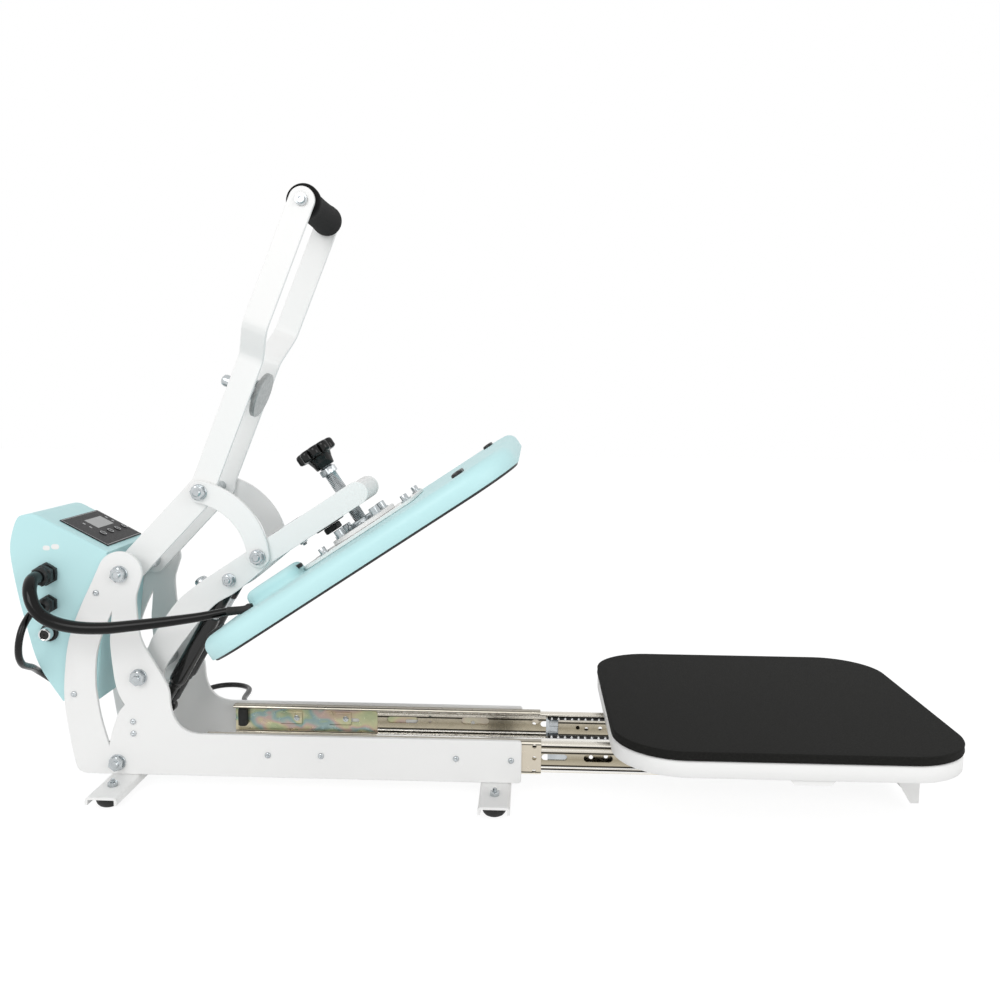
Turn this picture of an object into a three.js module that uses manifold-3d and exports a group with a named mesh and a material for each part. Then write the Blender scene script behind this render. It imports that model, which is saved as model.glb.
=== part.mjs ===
// A slide-out heat press: a raised, hinged heat platen on two arm plates, a toggle lever with
// a foam grip, two gas springs and a padded tray on ball-bearing slides.
// Millimetres. X points the way the tray slides out, Y away from the viewer, Z up. While it is
// being built, x is measured from the arm's pivot, z from the table and y from the middle.
import * as THREE from "three";
import { mergeVertices } from "three/addons/utils/BufferGeometryUtils.js";
import Module from "manifold-3d";

const wasm = await Module();
wasm.setup();

// Driving dimensions

const touch = 0.3; // gap between faces that meet
const running = 0.3; // play of a pin in its hole
const overrun = 2; // how far a cut runs past the face it leaves
const slender = 10; // sides of a small pin
const round = 20; // sides of a bolt, boss or foot
const curveSteps = 4; // chords to each stretch of a curve
const cornerSteps = 5; // chords to a corner of a rounded square
const hexSides = 6;
const bolts = { washerRadius: 9.8, washer: 2, acrossFlats: 15.5, head: 6, tipRadius: 4.6, tip: 3 };

const frame = { innerHalf: 60, sheet: 5, barBottom: 18, barHigh: 51, front: 449.4, corner: 4 };
const armPivot = { x: 0, z: 136.7, radius: 6 };
const leverPivot = { x: -19.2, z: 258.9, radius: 6 };
const upright = { deep: 90, high: 241, lobe: 26, lobeFrom: 150, lobeTo: -5, fillet: 36 };
const foot = { half: 132, wide: 36, sheet: 3, lip: 9, front: 419.8, rear: -20.1 };
const rubber = { place: 110, top: 14.4, bottom: 10.5, waist: 4 };
const tie = { x: -28.3, z: 32.7, radius: 5 };
const springFoot = { x: 3.4, z: 75, radius: 3.5, web: 4, webBack: 14, low: 55, lug: 4, lugRadius: 7 };

const armOpen = 33.8; // degrees from level to the raised rest
const leverOpen = 68.4; // degrees from level to the raised rest
const arm = { half: 36, sheet: 5, top: 54, deep: 27, reach: 344.5, pivotLobe: 22 };
const linkPin = { u: 193.2, w: 41.2, radius: 5 };
const springPin = { u: 147, w: 37.3, radius: 4 };
const screwAxis = 309.5;
const nutBlock = { long: 50, thick: 25, boss: 17.5 };
const magnet = { u: 229.5, radius: 24, face: 55, high: 27, strap: 40, strapHigh: 4 };

const lever = { crank: 129.9, crankRise: -21.6, hub: 17, reach: 352, wide: 29, sheet: 5 };
const joggle = { from: 168, long: 36, out: 33 };
const grip = { radius: 17, rod: 9, endGap: 2.5, screw: 3, screwHead: 5, headHigh: 3 };
const spacer = { radius: 6 };
const armature = { disc: 27.5, thick: 6, bolt: 4, rear: 34, nut: 13, nutHigh: 6, web: 26, webThick: 4 };
const link = { half: 13, bow: 17.4, sheet: 5, gap: 1 };

const platen = { side: 388, corner: 59, thick: 10, centre: 318.4, face: -28.4, post: 7, postIn: 70 };
const cover = { side: 394, corner: 62, lift: 2.6, top: -2.5, shoulder: 13, drop: 12, wall: 2 };
const hump = { from: 165, long: 67, middle: -60, half: 28, high: 13, round: 7 };
const saddle = { from: 233, long: 152, half: 58, thick: 4 };
const collar = { radius: 43, thick: 5, boss: 17, bossHigh: 6, bolt: 5.5, boltHigh: 8, boltOut: 35.5 };
const screw = { radius: 7.8, top: 97, nut: 19, nutFrom: 77.5, nutHigh: 8 };
const knob = { neck: 12, flare: 15.7, neckFrom: 87.5, plate: 102, high: 14, radius: 25, lobes: 9, lobe: 4.6 };
const relief = { u: 169, y: -102, root: 7.5, tip: 5.5, long: 24, dip: 27 };

const spring = { half: 18, body: 10.5, from: 32, to: 148, eye: 9, eyeThick: 10, neck: 6.8, bore: 40 };
const rod = { radius: 6.2, long: 130, neck: 13, eye: 8.6, eyeHole: 5.8, eyeThick: 10 };

const tray = { out: 738.4, side: 378, corner: 74, bottom: 80, top: 98, wall: 3, edge: 2 };
const pad = { side: 380, corner: 75, thick: 10, edge: 2 };
const slide = { rear: 75.4, long: 397, low: 27, high: 40, deep: 12.4, wall: 1.4, play: 0.4 };
const slideOut = { middle: 186, inner: 420 };
const carrier = { from: 560, wall: 2, low: 33 };
const crossBar = { x: 751, half: 24, drop: 6.5, slant: 5 };
const pull = { half: 75, low: 10, sheet: 3, foot: 9, deep: 24, back: 18.6 };

const box = { rear: 150, front: 35.5, bottom: 104, top: 328, wall: 2, slope: 27.35, slopeAt: 0.24 };
const panel = { from: 25.5, long: 64, middle: 9.2, half: 49.2, thick: 1.2 };
const button = { radius: 4.6, rise: 1.1, depth: 3, along: 68.2, middle: 20, apart: 20.5, count: 4 };
const gland = { hex: 24, hexHigh: 12, dome: 10.5, high: 24 };
const leadGland = { x: -106.8, z: 256.8 };
const cordGland = { x: -105.7, z: 221.4, share: 0.8 };
const fuse = { x: -106.6, z: 187, flange: 10.5, flangeHigh: 4, cap: 7.5, high: 16 };

const lead = { diameter: 12, sides: 10, stepShare: 2.4 };
const cord = { diameter: 8, sides: 8, stepShare: 2.6 };
const coil = { x: 178, y: 132, outer: 49, turns: 3.5, climb: 0.5, pitch: 8.8, rise: 8.6 };
const coilMesh = { steps: 24, sides: 6, straight: 10, tail: 48 };
const plug = { long: 40, wide: 26, high: 18, neck: 6, neckLong: 16, clear: 0.8 };
const plugPin = { wide: 2.4, long: 19, half: 6.5 };

// The outlines' own points, as shares of the size that carries them

const uprightRearShares = [
  [-0.73, 0], [-0.84, 0.017], [-0.893, 0.075], [-0.955, 0.213], [-1, 0.376],
  [-0.973, 0.538], [-0.908, 0.676], [-0.757, 0.824], [-0.58, 0.961],
];
const uprightFrontShares = [
  [-0.005, 0.9], [-0.013, 0.85], [0.011, 0.731], [0.062, 0.658], [0.191, 0.572],
  [0.32, 0.487], [0.385, 0.427], [0.4, 0.36],
];
const lensRearShares = [
  [-0.331, 0.816], [-0.479, 0.695], [-0.556, 0.592], [-0.58, 0.471],
  [-0.565, 0.385], [-0.518, 0.272], [-0.427, 0.142],
];
const lensLowShares = [[-0.374, 0.222], [-0.286, 0.31], [-0.201, 0.351]];
const lensFrontShares = [[-0.278, 0.405], [-0.328, 0.482], [-0.369, 0.645], [-0.355, 0.73]];
const boxRearShares = [
  [0.485, 0], [0.249, 0.195], [0.124, 0.428], [0.051, 0.599],
  [0, 0.78], [0.019, 0.878], [0.086, 0.974], [0.24, 1],
];
const boxFrontShares = [[1, 0.799], [0.831, 0]];
const armHeelShares = [[0.04, 0.4], [0.097, 0.6], [0.233, 0.925], [0.35, 1]];
const armBellyShares = [[0.592, 0.5], [0.427, 0.389], [0.308, 0.38], [0.085, -0.085]];

// The power cord's route and the lead's route, each chosen by hand

const cordRoute = [
  [-105.7, -79.6, 221.4], [-105.7, -87, 221.4], [-106.1, -96, 220.1], [-107, -104.2, 216.6],
  [-109.2, -115.4, 205.4], [-111.8, -119.5, 189.4], [-114.8, -115.2, 173.4], [-117.6, -103.5, 161],
  [-120.8, -86, 153.2], [-124.5, -68, 146.5], [-127, -50, 137], [-122, -27, 119], [-114.5, -8, 99],
  [-109.5, 7, 76], [-106, 19, 52], [-103.5, 32, 29], [-99.5, 48, 11.5], [-93, 68, 5],
  [-86, 88, 4.3], [-75, 118, 4.3], [-62, 160, 4.3], [-53, 210, 4.3], [-48.5, 260, 4.3],
  [-47, 300, 4.3], [-44.4, 313, 4.3], [-37, 324, 4.3], [-26, 331.4, 4.3], [-13, 334, 4.3],
  [0, 331.4, 4.3], [11, 324, 4.3], [18.4, 313, 4.3], [21, 300, 4.3], [25.5, 262, 4.3],
  [52, 218, 4.3], [95, 191, 4.3], [140, 181.5, 4.3], [159, 181, 4.3], [167.7, 181, 4.3],
];
const leadRoute = [
  [-106.8, -84.5, 256.8], [-106.6, -90, 256.8], [-105.6, -97.6, 255.7], [-103.9, -104.8, 252.4],
  [-101.1, -112, 245.6], [-97, -116.4, 236], [-91.3, -118, 226.5], [-82.3, -117.8, 218],
  [-69, -116.3, 211.6], [-49.3, -114, 207.2], [-19.2, -112, 206.3], [14, -110, 209.5],
  [43.5, -108, 213.1], [87.8, -105, 219.7], [117.2, -102, 225.7],
];

// Finishes

const finish = (color, roughness, metalness) =>
  new THREE.MeshStandardMaterial({ color, roughness, metalness });
const powderWhite = finish("#efefee", 0.45, 0);
const powderMint = finish("#bfe9ec", 0.4, 0);
const zinc = finish("#b9bcc0", 0.35, 0.9);
const yellowZinc = finish("#b9b08a", 0.4, 0.85);
const blackRubber = finish("#1c1c1b", 0.9, 0);
const blackFoam = finish("#2b2b29", 0.95, 0);
const blackPlastic = finish("#121212", 0.4, 0);
const blackPaint = finish("#19191a", 0.35, 0.2);
const blackCable = finish("#0b0b0b", 0.25, 0);
const castPlate = finish("#232324", 0.5, 0.3);
const panelGrey = finish("#4a4747", 0.5, 0);

// Making solids

const rad = THREE.MathUtils.degToRad;
const mergeDistance = 1e-4;

function solid(geometry) {
  const bare = geometry.index ? geometry.toNonIndexed() : geometry.clone();
  bare.deleteAttribute("normal");
  bare.deleteAttribute("uv");
  const merged = mergeVertices(bare, mergeDistance);
  return new wasm.Manifold(
    new wasm.Mesh({
      numProp: 3,
      vertProperties: merged.attributes.position.array,
      triVerts: new Uint32Array(merged.index.array),
    }),
  );
}

function joined(...geometries) {
  return geometries.map(solid).reduce((whole, next) => whole.add(next));
}

function cut(body, ...geometries) {
  return geometries.map(solid).reduce((left, tool) => left.subtract(tool), body);
}

function named(name, body, material) {
  const { vertProperties, triVerts } = body.getMesh();
  const geometry = new THREE.BufferGeometry();
  geometry.setAttribute("position", new THREE.BufferAttribute(new Float32Array(vertProperties), 3));
  geometry.setIndex(new THREE.BufferAttribute(new Uint32Array(triVerts), 1));
  geometry.computeVertexNormals();
  const mesh = new THREE.Mesh(geometry, material);
  mesh.name = name;
  return mesh;
}

// The same piece on the far side of the middle.
function acrossFrom(mesh, name) {
  const twin = new THREE.Mesh(mesh.geometry, mesh.material);
  twin.name = name;
  twin.scale.y = -1;
  return twin;
}

// Basic forms, each between two faces

function sheetXZ(shape, from, to, steps = curveSteps) {
  const made = new THREE.ExtrudeGeometry(shape, {
    depth: to - from, bevelEnabled: false, curveSegments: steps,
  });
  return made.rotateX(Math.PI / 2).translate(0, to, 0);
}

function sheetXY(shape, from, to, steps = curveSteps) {
  const made = new THREE.ExtrudeGeometry(shape, {
    depth: to - from, bevelEnabled: false, curveSegments: steps,
  });
  return made.translate(0, 0, from);
}

// A section drawn in Y and Z, run along X.
function runX(shape, from, to) {
  const made = new THREE.ExtrudeGeometry(shape, { depth: to - from, bevelEnabled: false });
  const axes = new THREE.Matrix4().makeBasis(
    new THREE.Vector3(0, 1, 0), new THREE.Vector3(0, 0, 1), new THREE.Vector3(1, 0, 0),
  );
  return made.applyMatrix4(axes).translate(from, 0, 0);
}

function block(x0, x1, y0, y1, z0, z1) {
  return new THREE.BoxGeometry(x1 - x0, y1 - y0, z1 - z0)
    .translate((x0 + x1) / 2, (y0 + y1) / 2, (z0 + z1) / 2);
}

function rodY(radius, from, to, x, z, sides = round) {
  return new THREE.CylinderGeometry(radius, radius, to - from, sides)
    .translate(x, (from + to) / 2, z);
}

function coneZ(low, high, from, to, x, y, sides = round) {
  return new THREE.CylinderGeometry(high, low, to - from, sides)
    .rotateX(Math.PI / 2).translate(x, y, (from + to) / 2);
}

const rodZ = (radius, from, to, x, y, sides) => coneZ(radius, radius, from, to, x, y, sides);
const hexRadius = (acrossFlats) => acrossFlats / Math.sqrt(3);

function polygon(points) {
  return new THREE.Shape(points.map(([x, y]) => new THREE.Vector2(x, y)));
}

// A bar with round ends, from one centre to another.
function capsule(ax, ay, bx, by, radius) {
  const along = Math.atan2(by - ay, bx - ax);
  const shape = new THREE.Shape();
  shape.absarc(ax, ay, radius, along + Math.PI / 2, along + 1.5 * Math.PI, false);
  shape.absarc(bx, by, radius, along - Math.PI / 2, along + Math.PI / 2, false);
  shape.closePath();
  return shape;
}

// A rounded square's outline, drawn in by an inset.
function squareRing(side, corner, inset) {
  const half = side / 2 - corner;
  const radius = corner - inset;
  const ring = [];
  for (let quarter = 0; quarter < 4; quarter++) {
    const middle = rad(45 + 90 * quarter);
    const cx = Math.sign(Math.cos(middle)) * half;
    const cy = Math.sign(Math.sin(middle)) * half;
    for (let step = 0; step <= cornerSteps; step++) {
      const angle = rad(90 * (quarter + step / cornerSteps));
      ring.push([cx + radius * Math.cos(angle), cy + radius * Math.sin(angle)]);
    }
  }
  return ring;
}

// A closed solid through rings of as many points each, from the lowest to the highest.
function lofted(rings) {
  const count = rings[0].length;
  const points = rings.flat();
  const faces = [];
  const quad = (a, b, c, d) => faces.push(a, b, c, a, c, d);
  for (let level = 0; level + 1 < rings.length; level++) {
    for (let i = 0; i < count; i++) {
      const next = (i + 1) % count;
      const low = level * count;
      quad(low + i, low + next, low + count + next, low + count + i);
    }
  }
  const last = (rings.length - 1) * count;
  for (let i = 1; i + 1 < count; i++) {
    faces.push(0, i + 1, i);
    faces.push(last, last + i, last + i + 1);
  }
  const geometry = new THREE.BufferGeometry();
  geometry.setAttribute("position", new THREE.Float32BufferAttribute(points.flat(), 3));
  geometry.setIndex(faces);
  return geometry;
}

// A rounded square slab: each level is [inset, height].
function squareLoft(side, corner, levels, x = 0) {
  return lofted(levels.map(([inset, z]) =>
    squareRing(side, corner, inset).map(([px, py]) => [px + x, py, z])));
}

// A rounded shoulder from a wall to a top, as levels of [inset, height].
function shoulderLevels(inset, drop, top, steps) {
  return Array.from({ length: steps + 1 }, (_, i) => {
    const angle = (Math.PI / 2) * (i / steps);
    return [inset * (1 - Math.cos(angle)), top - drop + drop * Math.sin(angle)];
  });
}

// A tube along a route of points.
function tube(route, diameter, sides, stepShare) {
  const curve = new THREE.CatmullRomCurve3(
    route.map(([x, y, z]) => new THREE.Vector3(x, y, z)), false, "centripetal",
  );
  const section = polygon(Array.from({ length: sides }, (_, i) => {
    const angle = (2 * Math.PI * i) / sides;
    return [(diameter / 2) * Math.cos(angle), (diameter / 2) * Math.sin(angle)];
  }));
  const steps = Math.ceil(curve.getLength() / (stepShare * diameter));
  return new THREE.ExtrudeGeometry(section, { steps, extrudePath: curve, bevelEnabled: false });
}

// A bolt across the machine: its shaft, a washer and a hexagon at both ends, and sleeves on it.
function crossBolt(radius, outer, x, z, sleeves = []) {
  const pieces = [rodY(radius, -outer - bolts.washer, outer + bolts.washer, x, z)];
  for (const side of [-1, 1]) {
    const face = side * (outer + touch);
    const washer = face + side * bolts.washer;
    const hexagon = washer + side * bolts.head;
    const tip = hexagon + side * bolts.tip;
    const span = (a, b) => [Math.min(a, b), Math.max(a, b)];
    pieces.push(rodY(bolts.washerRadius, ...span(face, washer), x, z));
    pieces.push(rodY(hexRadius(bolts.acrossFlats), ...span(washer, hexagon), x, z, hexSides));
    pieces.push(rodY(bolts.tipRadius, ...span(hexagon, tip), x, z, slender));
  }
  for (const [from, to, sleeve] of sleeves) pieces.push(rodY(sleeve, from, to, x, z));
  return joined(...pieces);
}

const machine = new THREE.Group();
const free = new THREE.Group(); // the free cord, its coil and its plug

// The base: two side plates, two foot channels and what ties them

const frameOuter = frame.innerHalf + frame.sheet;
const barTop = frame.barBottom + frame.barHigh;

function sidePlateShape() {
  const at = ([x, z]) => new THREE.Vector2(x * upright.deep, frame.barBottom + z * upright.high);
  const shape = new THREE.Shape();
  const [start, ...rear] = uprightRearShares.map(at);
  shape.moveTo(start.x, start.y);
  shape.splineThru(rear);
  shape.absarc(
    leverPivot.x, leverPivot.z, upright.lobe, rad(upright.lobeFrom), rad(upright.lobeTo), true,
  );
  const front = uprightFrontShares.map(at);
  shape.splineThru(front);
  const foot = front[front.length - 1];
  shape.quadraticCurveTo(foot.x + frame.corner, barTop, foot.x + upright.fillet, barTop);
  shape.lineTo(frame.front - frame.corner, barTop);
  shape.lineTo(frame.front, barTop - frame.corner);
  shape.lineTo(frame.front, frame.barBottom + frame.corner);
  shape.lineTo(frame.front - frame.corner, frame.barBottom);
  shape.closePath();
  const lens = new THREE.Path();
  const [tip, ...back] = lensRearShares.map(at);
  lens.moveTo(tip.x, tip.y);
  lens.splineThru(back);
  lens.splineThru(lensLowShares.map(at));
  lens.splineThru([...lensFrontShares.map(at), tip]);
  shape.holes.push(lens);
  return shape;
}

const through = (radius, x, z) =>
  rodY(radius + running, -frameOuter - overrun, frameOuter + overrun, x, z);
const nearPlate = named("near_side_plate", cut(
  solid(sheetXZ(sidePlateShape(), -frameOuter, -frame.innerHalf)),
  through(armPivot.radius, armPivot.x, armPivot.z),
  through(leverPivot.radius, leverPivot.x, leverPivot.z),
  through(tie.radius, tie.x, tie.z),
), powderWhite);
machine.add(nearPlate, acrossFrom(nearPlate, "far_side_plate"));

const footTop = frame.barBottom - touch;
for (const [name, x] of [["front_foot_channel", foot.front], ["rear_foot_channel", foot.rear]]) {
  const half = foot.wide / 2;
  const outside = block(x - half, x + half, -foot.half, foot.half, footTop - foot.lip, footTop);
  const inside = block(
    x - half + foot.sheet, x + half - foot.sheet, -foot.half - overrun, foot.half + overrun,
    footTop - foot.lip - overrun, footTop - foot.sheet,
  );
  machine.add(named(name, cut(solid(outside), inside), powderWhite));
}

const rubberTop = footTop - foot.sheet - touch;
for (const [end, x] of [["front", foot.front], ["rear", foot.rear]]) {
  for (const [side, sign] of [["near", -1], ["far", 1]]) {
    const y = sign * rubber.place;
    const shoulder = rubberTop - rubber.waist;
    machine.add(named(`rubber_foot_${end}_${side}`, joined(
      coneZ(rubber.bottom, rubber.top, 0, shoulder, x, y),
      rodZ(rubber.top, shoulder, rubberTop, x, y),
    ), blackRubber));
  }
}

const sleeveRadius = 1.7;
const innerFace = frame.innerHalf - touch;
machine.add(named("rear_tie_bolt", crossBolt(tie.radius, frameOuter, tie.x, tie.z, [
  [-innerFace, innerFace, tie.radius * sleeveRadius],
]), zinc));

const armInner = arm.half - touch;
const armOuter = arm.half + arm.sheet;
const pivotSleeves = (radius) => [
  [-innerFace, -armOuter - touch, radius * sleeveRadius],
  [-armInner, armInner, radius * sleeveRadius],
  [armOuter + touch, innerFace, radius * sleeveRadius],
];
for (const [name, pivot] of [["arm_pivot_bolt", armPivot], ["lever_pivot_bolt", leverPivot]]) {
  machine.add(named(
    name, crossBolt(pivot.radius, frameOuter, pivot.x, pivot.z, pivotSleeves(pivot.radius)), zinc,
  ));
}

// The bracket that holds the gas springs' lower pin, screwed between the side plates
const webX = springFoot.x - springFoot.webBack;
const lugHalf = spring.half + spring.eyeThick / 2 + running;
const lugs = [-1, 0, 1].map((place) => {
  const middle = place * (lugHalf + springFoot.lug / 2);
  const shape = capsule(webX, springFoot.z, springFoot.x, springFoot.z, springFoot.lugRadius);
  return sheetXZ(shape, middle - springFoot.lug / 2, middle + springFoot.lug / 2);
});
machine.add(named("spring_foot_bracket", joined(
  block(webX - springFoot.web, webX, -innerFace, innerFace,
    springFoot.low, 2 * springFoot.z - springFoot.low),
  rodY(springFoot.radius, -lugHalf - springFoot.lug, lugHalf + springFoot.lug,
    springFoot.x, springFoot.z, slender),
  ...lugs,
), powderWhite));

// The control box at the back, with its panel, buttons and glands

const boxHalf = innerFace;
const boxDeep = box.rear - box.front;
const boxHigh = box.top - box.bottom;

function boxShape(inset) {
  const at = ([x, z]) => new THREE.Vector2(
    -box.rear + inset + x * (boxDeep - 2 * inset),
    box.bottom + inset + z * (boxHigh - 2 * inset),
  );
  const [start, ...rear] = boxRearShares.map(at);
  const shape = new THREE.Shape();
  shape.moveTo(start.x, start.y);
  shape.splineThru(rear);
  for (const point of boxFrontShares.map(at)) shape.lineTo(point.x, point.y);
  shape.closePath();
  return shape;
}

const slopeTop = [-box.rear + box.slopeAt * boxDeep, 0, box.top];
const onSlope = (geometry) => geometry.rotateY(rad(box.slope)).translate(...slopeTop);
const buttonPlaces = Array.from({ length: button.count }, (_, i) =>
  button.middle + (i - (button.count - 1) / 2) * button.apart);
const buttonHoles = () => buttonPlaces.map((y) => onSlope(rodZ(
  button.radius + running, -button.depth - overrun - box.wall, panel.thick + button.rise + overrun,
  button.along, y, slender,
)));
const coverFace = -boxHalf + box.wall;
machine.add(named("control_box_shell", cut(
  solid(sheetXZ(boxShape(0), coverFace + touch, boxHalf)),
  sheetXZ(boxShape(box.wall), coverFace + touch - overrun, boxHalf - box.wall),
  ...buttonHoles(),
), powderMint));
machine.add(named("control_box_cover", solid(
  sheetXZ(boxShape(0), -boxHalf, coverFace),
), powderMint));
machine.add(named("control_panel", cut(
  solid(onSlope(block(
    panel.from, panel.from + panel.long, panel.middle - panel.half, panel.middle + panel.half,
    touch, touch + panel.thick,
  ))),
  ...buttonHoles(),
), panelGrey));
buttonPlaces.forEach((y, i) => machine.add(named(`button_${i + 1}`, solid(onSlope(rodZ(
  button.radius, -button.depth, touch + panel.thick + button.rise, button.along, y, slender,
))), panelGrey)));

function glandAt({ x, z, share = 1 }) {
  const face = -boxHalf - touch;
  const hexEnd = face - gland.hexHigh * share;
  const end = face - gland.high * share;
  const neck = (face + hexEnd) / 2;
  return joined(
    rodY(hexRadius(gland.hex * share), hexEnd, face, x, z, hexSides),
    rodY(gland.dome * share, end, neck, x, z),
  );
}
machine.add(named("lead_gland", glandAt(leadGland), blackPlastic));
machine.add(named("power_gland", glandAt(cordGland), blackPlastic));
const fuseFace = -boxHalf - touch;
machine.add(named("fuse_holder", joined(
  rodY(fuse.flange, fuseFace - fuse.flangeHigh, fuseFace, fuse.x, fuse.z),
  rodY(fuse.cap, fuseFace - fuse.high, fuseFace, fuse.x, fuse.z),
), blackPlastic));

// The slides: one channel fixed to each side plate, one between, one on the tray

const slideMiddle = slide.low + slide.high / 2;
function channelRun(nest, opensOutward, from) {
  const inset = nest * (slide.wall + slide.play);
  const half = slide.high / 2 - inset;
  const back = -innerFace + inset;
  const front = -innerFace + slide.deep - slide.play + (opensOutward ? slide.play : 0);
  const [hollowFrom, hollowTo] = opensOutward
    ? [back - overrun, front - slide.wall]
    : [back + slide.wall, front + overrun];
  return cut(
    solid(block(from, from + slide.long, back, front, slideMiddle - half, slideMiddle + half)),
    block(
      from - overrun, from + slide.long + overrun, hollowFrom, hollowTo,
      slideMiddle - half + slide.wall, slideMiddle + half - slide.wall,
    ),
  );
}
const outerSlide = named("near_slide_fixed", channelRun(0, false, slide.rear), yellowZinc);
const middleSlide = named(
  "near_slide_middle", channelRun(1, false, slide.rear + slideOut.middle), zinc,
);
const innerSlide = named(
  "near_slide_inner", channelRun(2, true, slide.rear + slideOut.inner), zinc,
);
machine.add(outerSlide, acrossFrom(outerSlide, "far_slide_fixed"));
machine.add(middleSlide, acrossFrom(middleSlide, "far_slide_middle"));
machine.add(innerSlide, acrossFrom(innerSlide, "far_slide_inner"));

// The tray: a pressed pan, its pad and the carrier that joins it to the slides

const edgeLevels = (low, top, edge) => [[0, low], ...shoulderLevels(edge, edge, top, 2)];
machine.add(named("tray_pan", cut(
  solid(squareLoft(tray.side, tray.corner, edgeLevels(tray.bottom, tray.top, tray.edge), tray.out)),
  squareLoft(tray.side, tray.corner, [
    [tray.wall, tray.bottom - overrun], [tray.wall, tray.top - tray.wall],
  ], tray.out),
), powderWhite));
const padBottom = tray.top + touch;
machine.add(named("tray_pad", solid(squareLoft(
  pad.side, pad.corner, edgeLevels(padBottom, tray.top + pad.thick, pad.edge), tray.out,
)), blackFoam));

const carrierHalf = innerFace - slide.deep - touch;
const carrierTop = tray.top - tray.wall - touch;
const underTop = carrierTop - carrier.wall;
const pullFront = tray.out + tray.side / 2 - pull.back - tray.wall;
const pullBack = pullFront - pull.sheet;
const pullRear = pullFront - pull.deep;
const pullShape = new THREE.Shape();
pullShape.moveTo(pullFront, carrierTop);
pullShape.lineTo(pullFront, pull.low);
pullShape.lineTo(pullFront - pull.foot, pull.low);
pullShape.lineTo(pullRear, pull.low + pull.deep);
pullShape.lineTo(pullRear, carrierTop);
pullShape.closePath();
const barEnd = tray.side / 2 - tray.wall - touch;
const barLow = tray.bottom - crossBar.drop;
const barSide = crossBar.half - crossBar.slant;
const barShape = polygon([
  [crossBar.x - barSide, barLow], [crossBar.x + barSide, barLow],
  [crossBar.x + crossBar.half, tray.bottom], [crossBar.x + crossBar.half, carrierTop],
  [crossBar.x - crossBar.half, carrierTop], [crossBar.x - crossBar.half, tray.bottom],
]);
const barTroughs = [-1, 1].map((side) => {
  const [from, to] = [side * carrierHalf, side * (barEnd - carrier.wall)];
  return block(
    crossBar.x - barSide, crossBar.x + barSide, Math.min(from, to), Math.max(from, to),
    barLow + carrier.wall, carrierTop + overrun,
  );
});
const pullPockets = [-1, 1].map((side) => {
  const [from, to] = [side * carrierHalf, side * (pull.half - pull.sheet)];
  return block(
    pullRear - overrun, pullBack, Math.min(from, to), Math.max(from, to), -overrun, underTop,
  );
});
machine.add(named("tray_carrier", cut(
  joined(
    block(carrier.from, pullBack + touch, -carrierHalf, carrierHalf, carrier.low, carrierTop),
    sheetXZ(barShape, -barEnd, barEnd),
    sheetXZ(pullShape, -pull.half, pull.half),
  ),
  block(carrier.from - overrun, pullBack, -carrierHalf + carrier.wall, carrierHalf - carrier.wall,
    -overrun, underTop),
  block(pullRear - overrun, pullBack, -pull.half + pull.sheet, pull.half - pull.sheet,
    -overrun, carrier.low),
  ...barTroughs,
  ...pullPockets,
), powderWhite));

// The arm, drawn level and then raised about its pivot

const armGroup = new THREE.Group();
armGroup.position.set(armPivot.x, 0, armPivot.z);
armGroup.rotation.y = -rad(armOpen);
machine.add(armGroup);

function armShape() {
  const at = ([u, w]) => new THREE.Vector2(u * arm.reach, w * arm.top);
  const tipRadius = arm.deep / 2;
  const shape = new THREE.Shape();
  shape.absarc(0, 0, arm.pivotLobe, rad(120), rad(300), false);
  shape.splineThru([...armBellyShares].reverse().map(at));
  shape.absarc(
    arm.reach - tipRadius, arm.top - tipRadius, tipRadius, -Math.PI / 2, Math.PI / 2, false,
  );
  shape.splineThru([...armHeelShares].reverse().map(at));
  shape.closePath();
  return shape;
}

const armHole = (radius, u, w) =>
  rodY(radius + running, -armOuter - overrun, armOuter + overrun, u, w);
const nearArm = named("near_arm_plate", cut(
  solid(sheetXZ(armShape(), -armOuter, -arm.half)),
  armHole(armPivot.radius, 0, 0),
  armHole(linkPin.radius, linkPin.u, linkPin.w),
  armHole(springPin.radius, springPin.u, springPin.w),
), powderWhite);
armGroup.add(nearArm, acrossFrom(nearArm, "far_arm_plate"));

const screwHole = (from, to) => rodZ(screw.radius + running, from, to, screwAxis, 0);
const armBottom = arm.top - arm.deep;
const tipMiddle = [arm.reach - arm.deep / 2, arm.top - arm.deep / 2];
armGroup.add(named("arm_nut_block", cut(
  joined(
    sheetXZ(capsule(
      tipMiddle[0] - nutBlock.long + nutBlock.thick, tipMiddle[1], ...tipMiddle, nutBlock.thick / 2,
    ), -armInner, armInner),
    rodZ(nutBlock.boss, armBottom, tipMiddle[1] + nutBlock.thick / 2, screwAxis, 0),
  ),
  screwHole(armBottom - overrun, arm.top + overrun),
), powderWhite));

armGroup.add(named("electromagnet", joined(
  rodZ(magnet.radius, magnet.face - magnet.high, magnet.face, magnet.u, 0),
  block(
    magnet.u - magnet.strap / 2, magnet.u + magnet.strap / 2, -armInner, armInner,
    magnet.face - magnet.high, magnet.face - magnet.high + magnet.strapHigh,
  ),
), zinc));

const linkInner = armOuter + link.gap;
const linkOuter = linkInner + link.sheet;
armGroup.add(named("link_pivot_bolt", crossBolt(linkPin.radius, linkOuter, linkPin.u, linkPin.w, [
  [-armInner, armInner, linkPin.radius * sleeveRadius],
]), zinc));
armGroup.add(named(
  "spring_top_bolt", crossBolt(springPin.radius, armOuter, springPin.u, springPin.w), zinc,
));

// The platen under the arm: heated plate, cover, saddle and thrust collar

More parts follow.
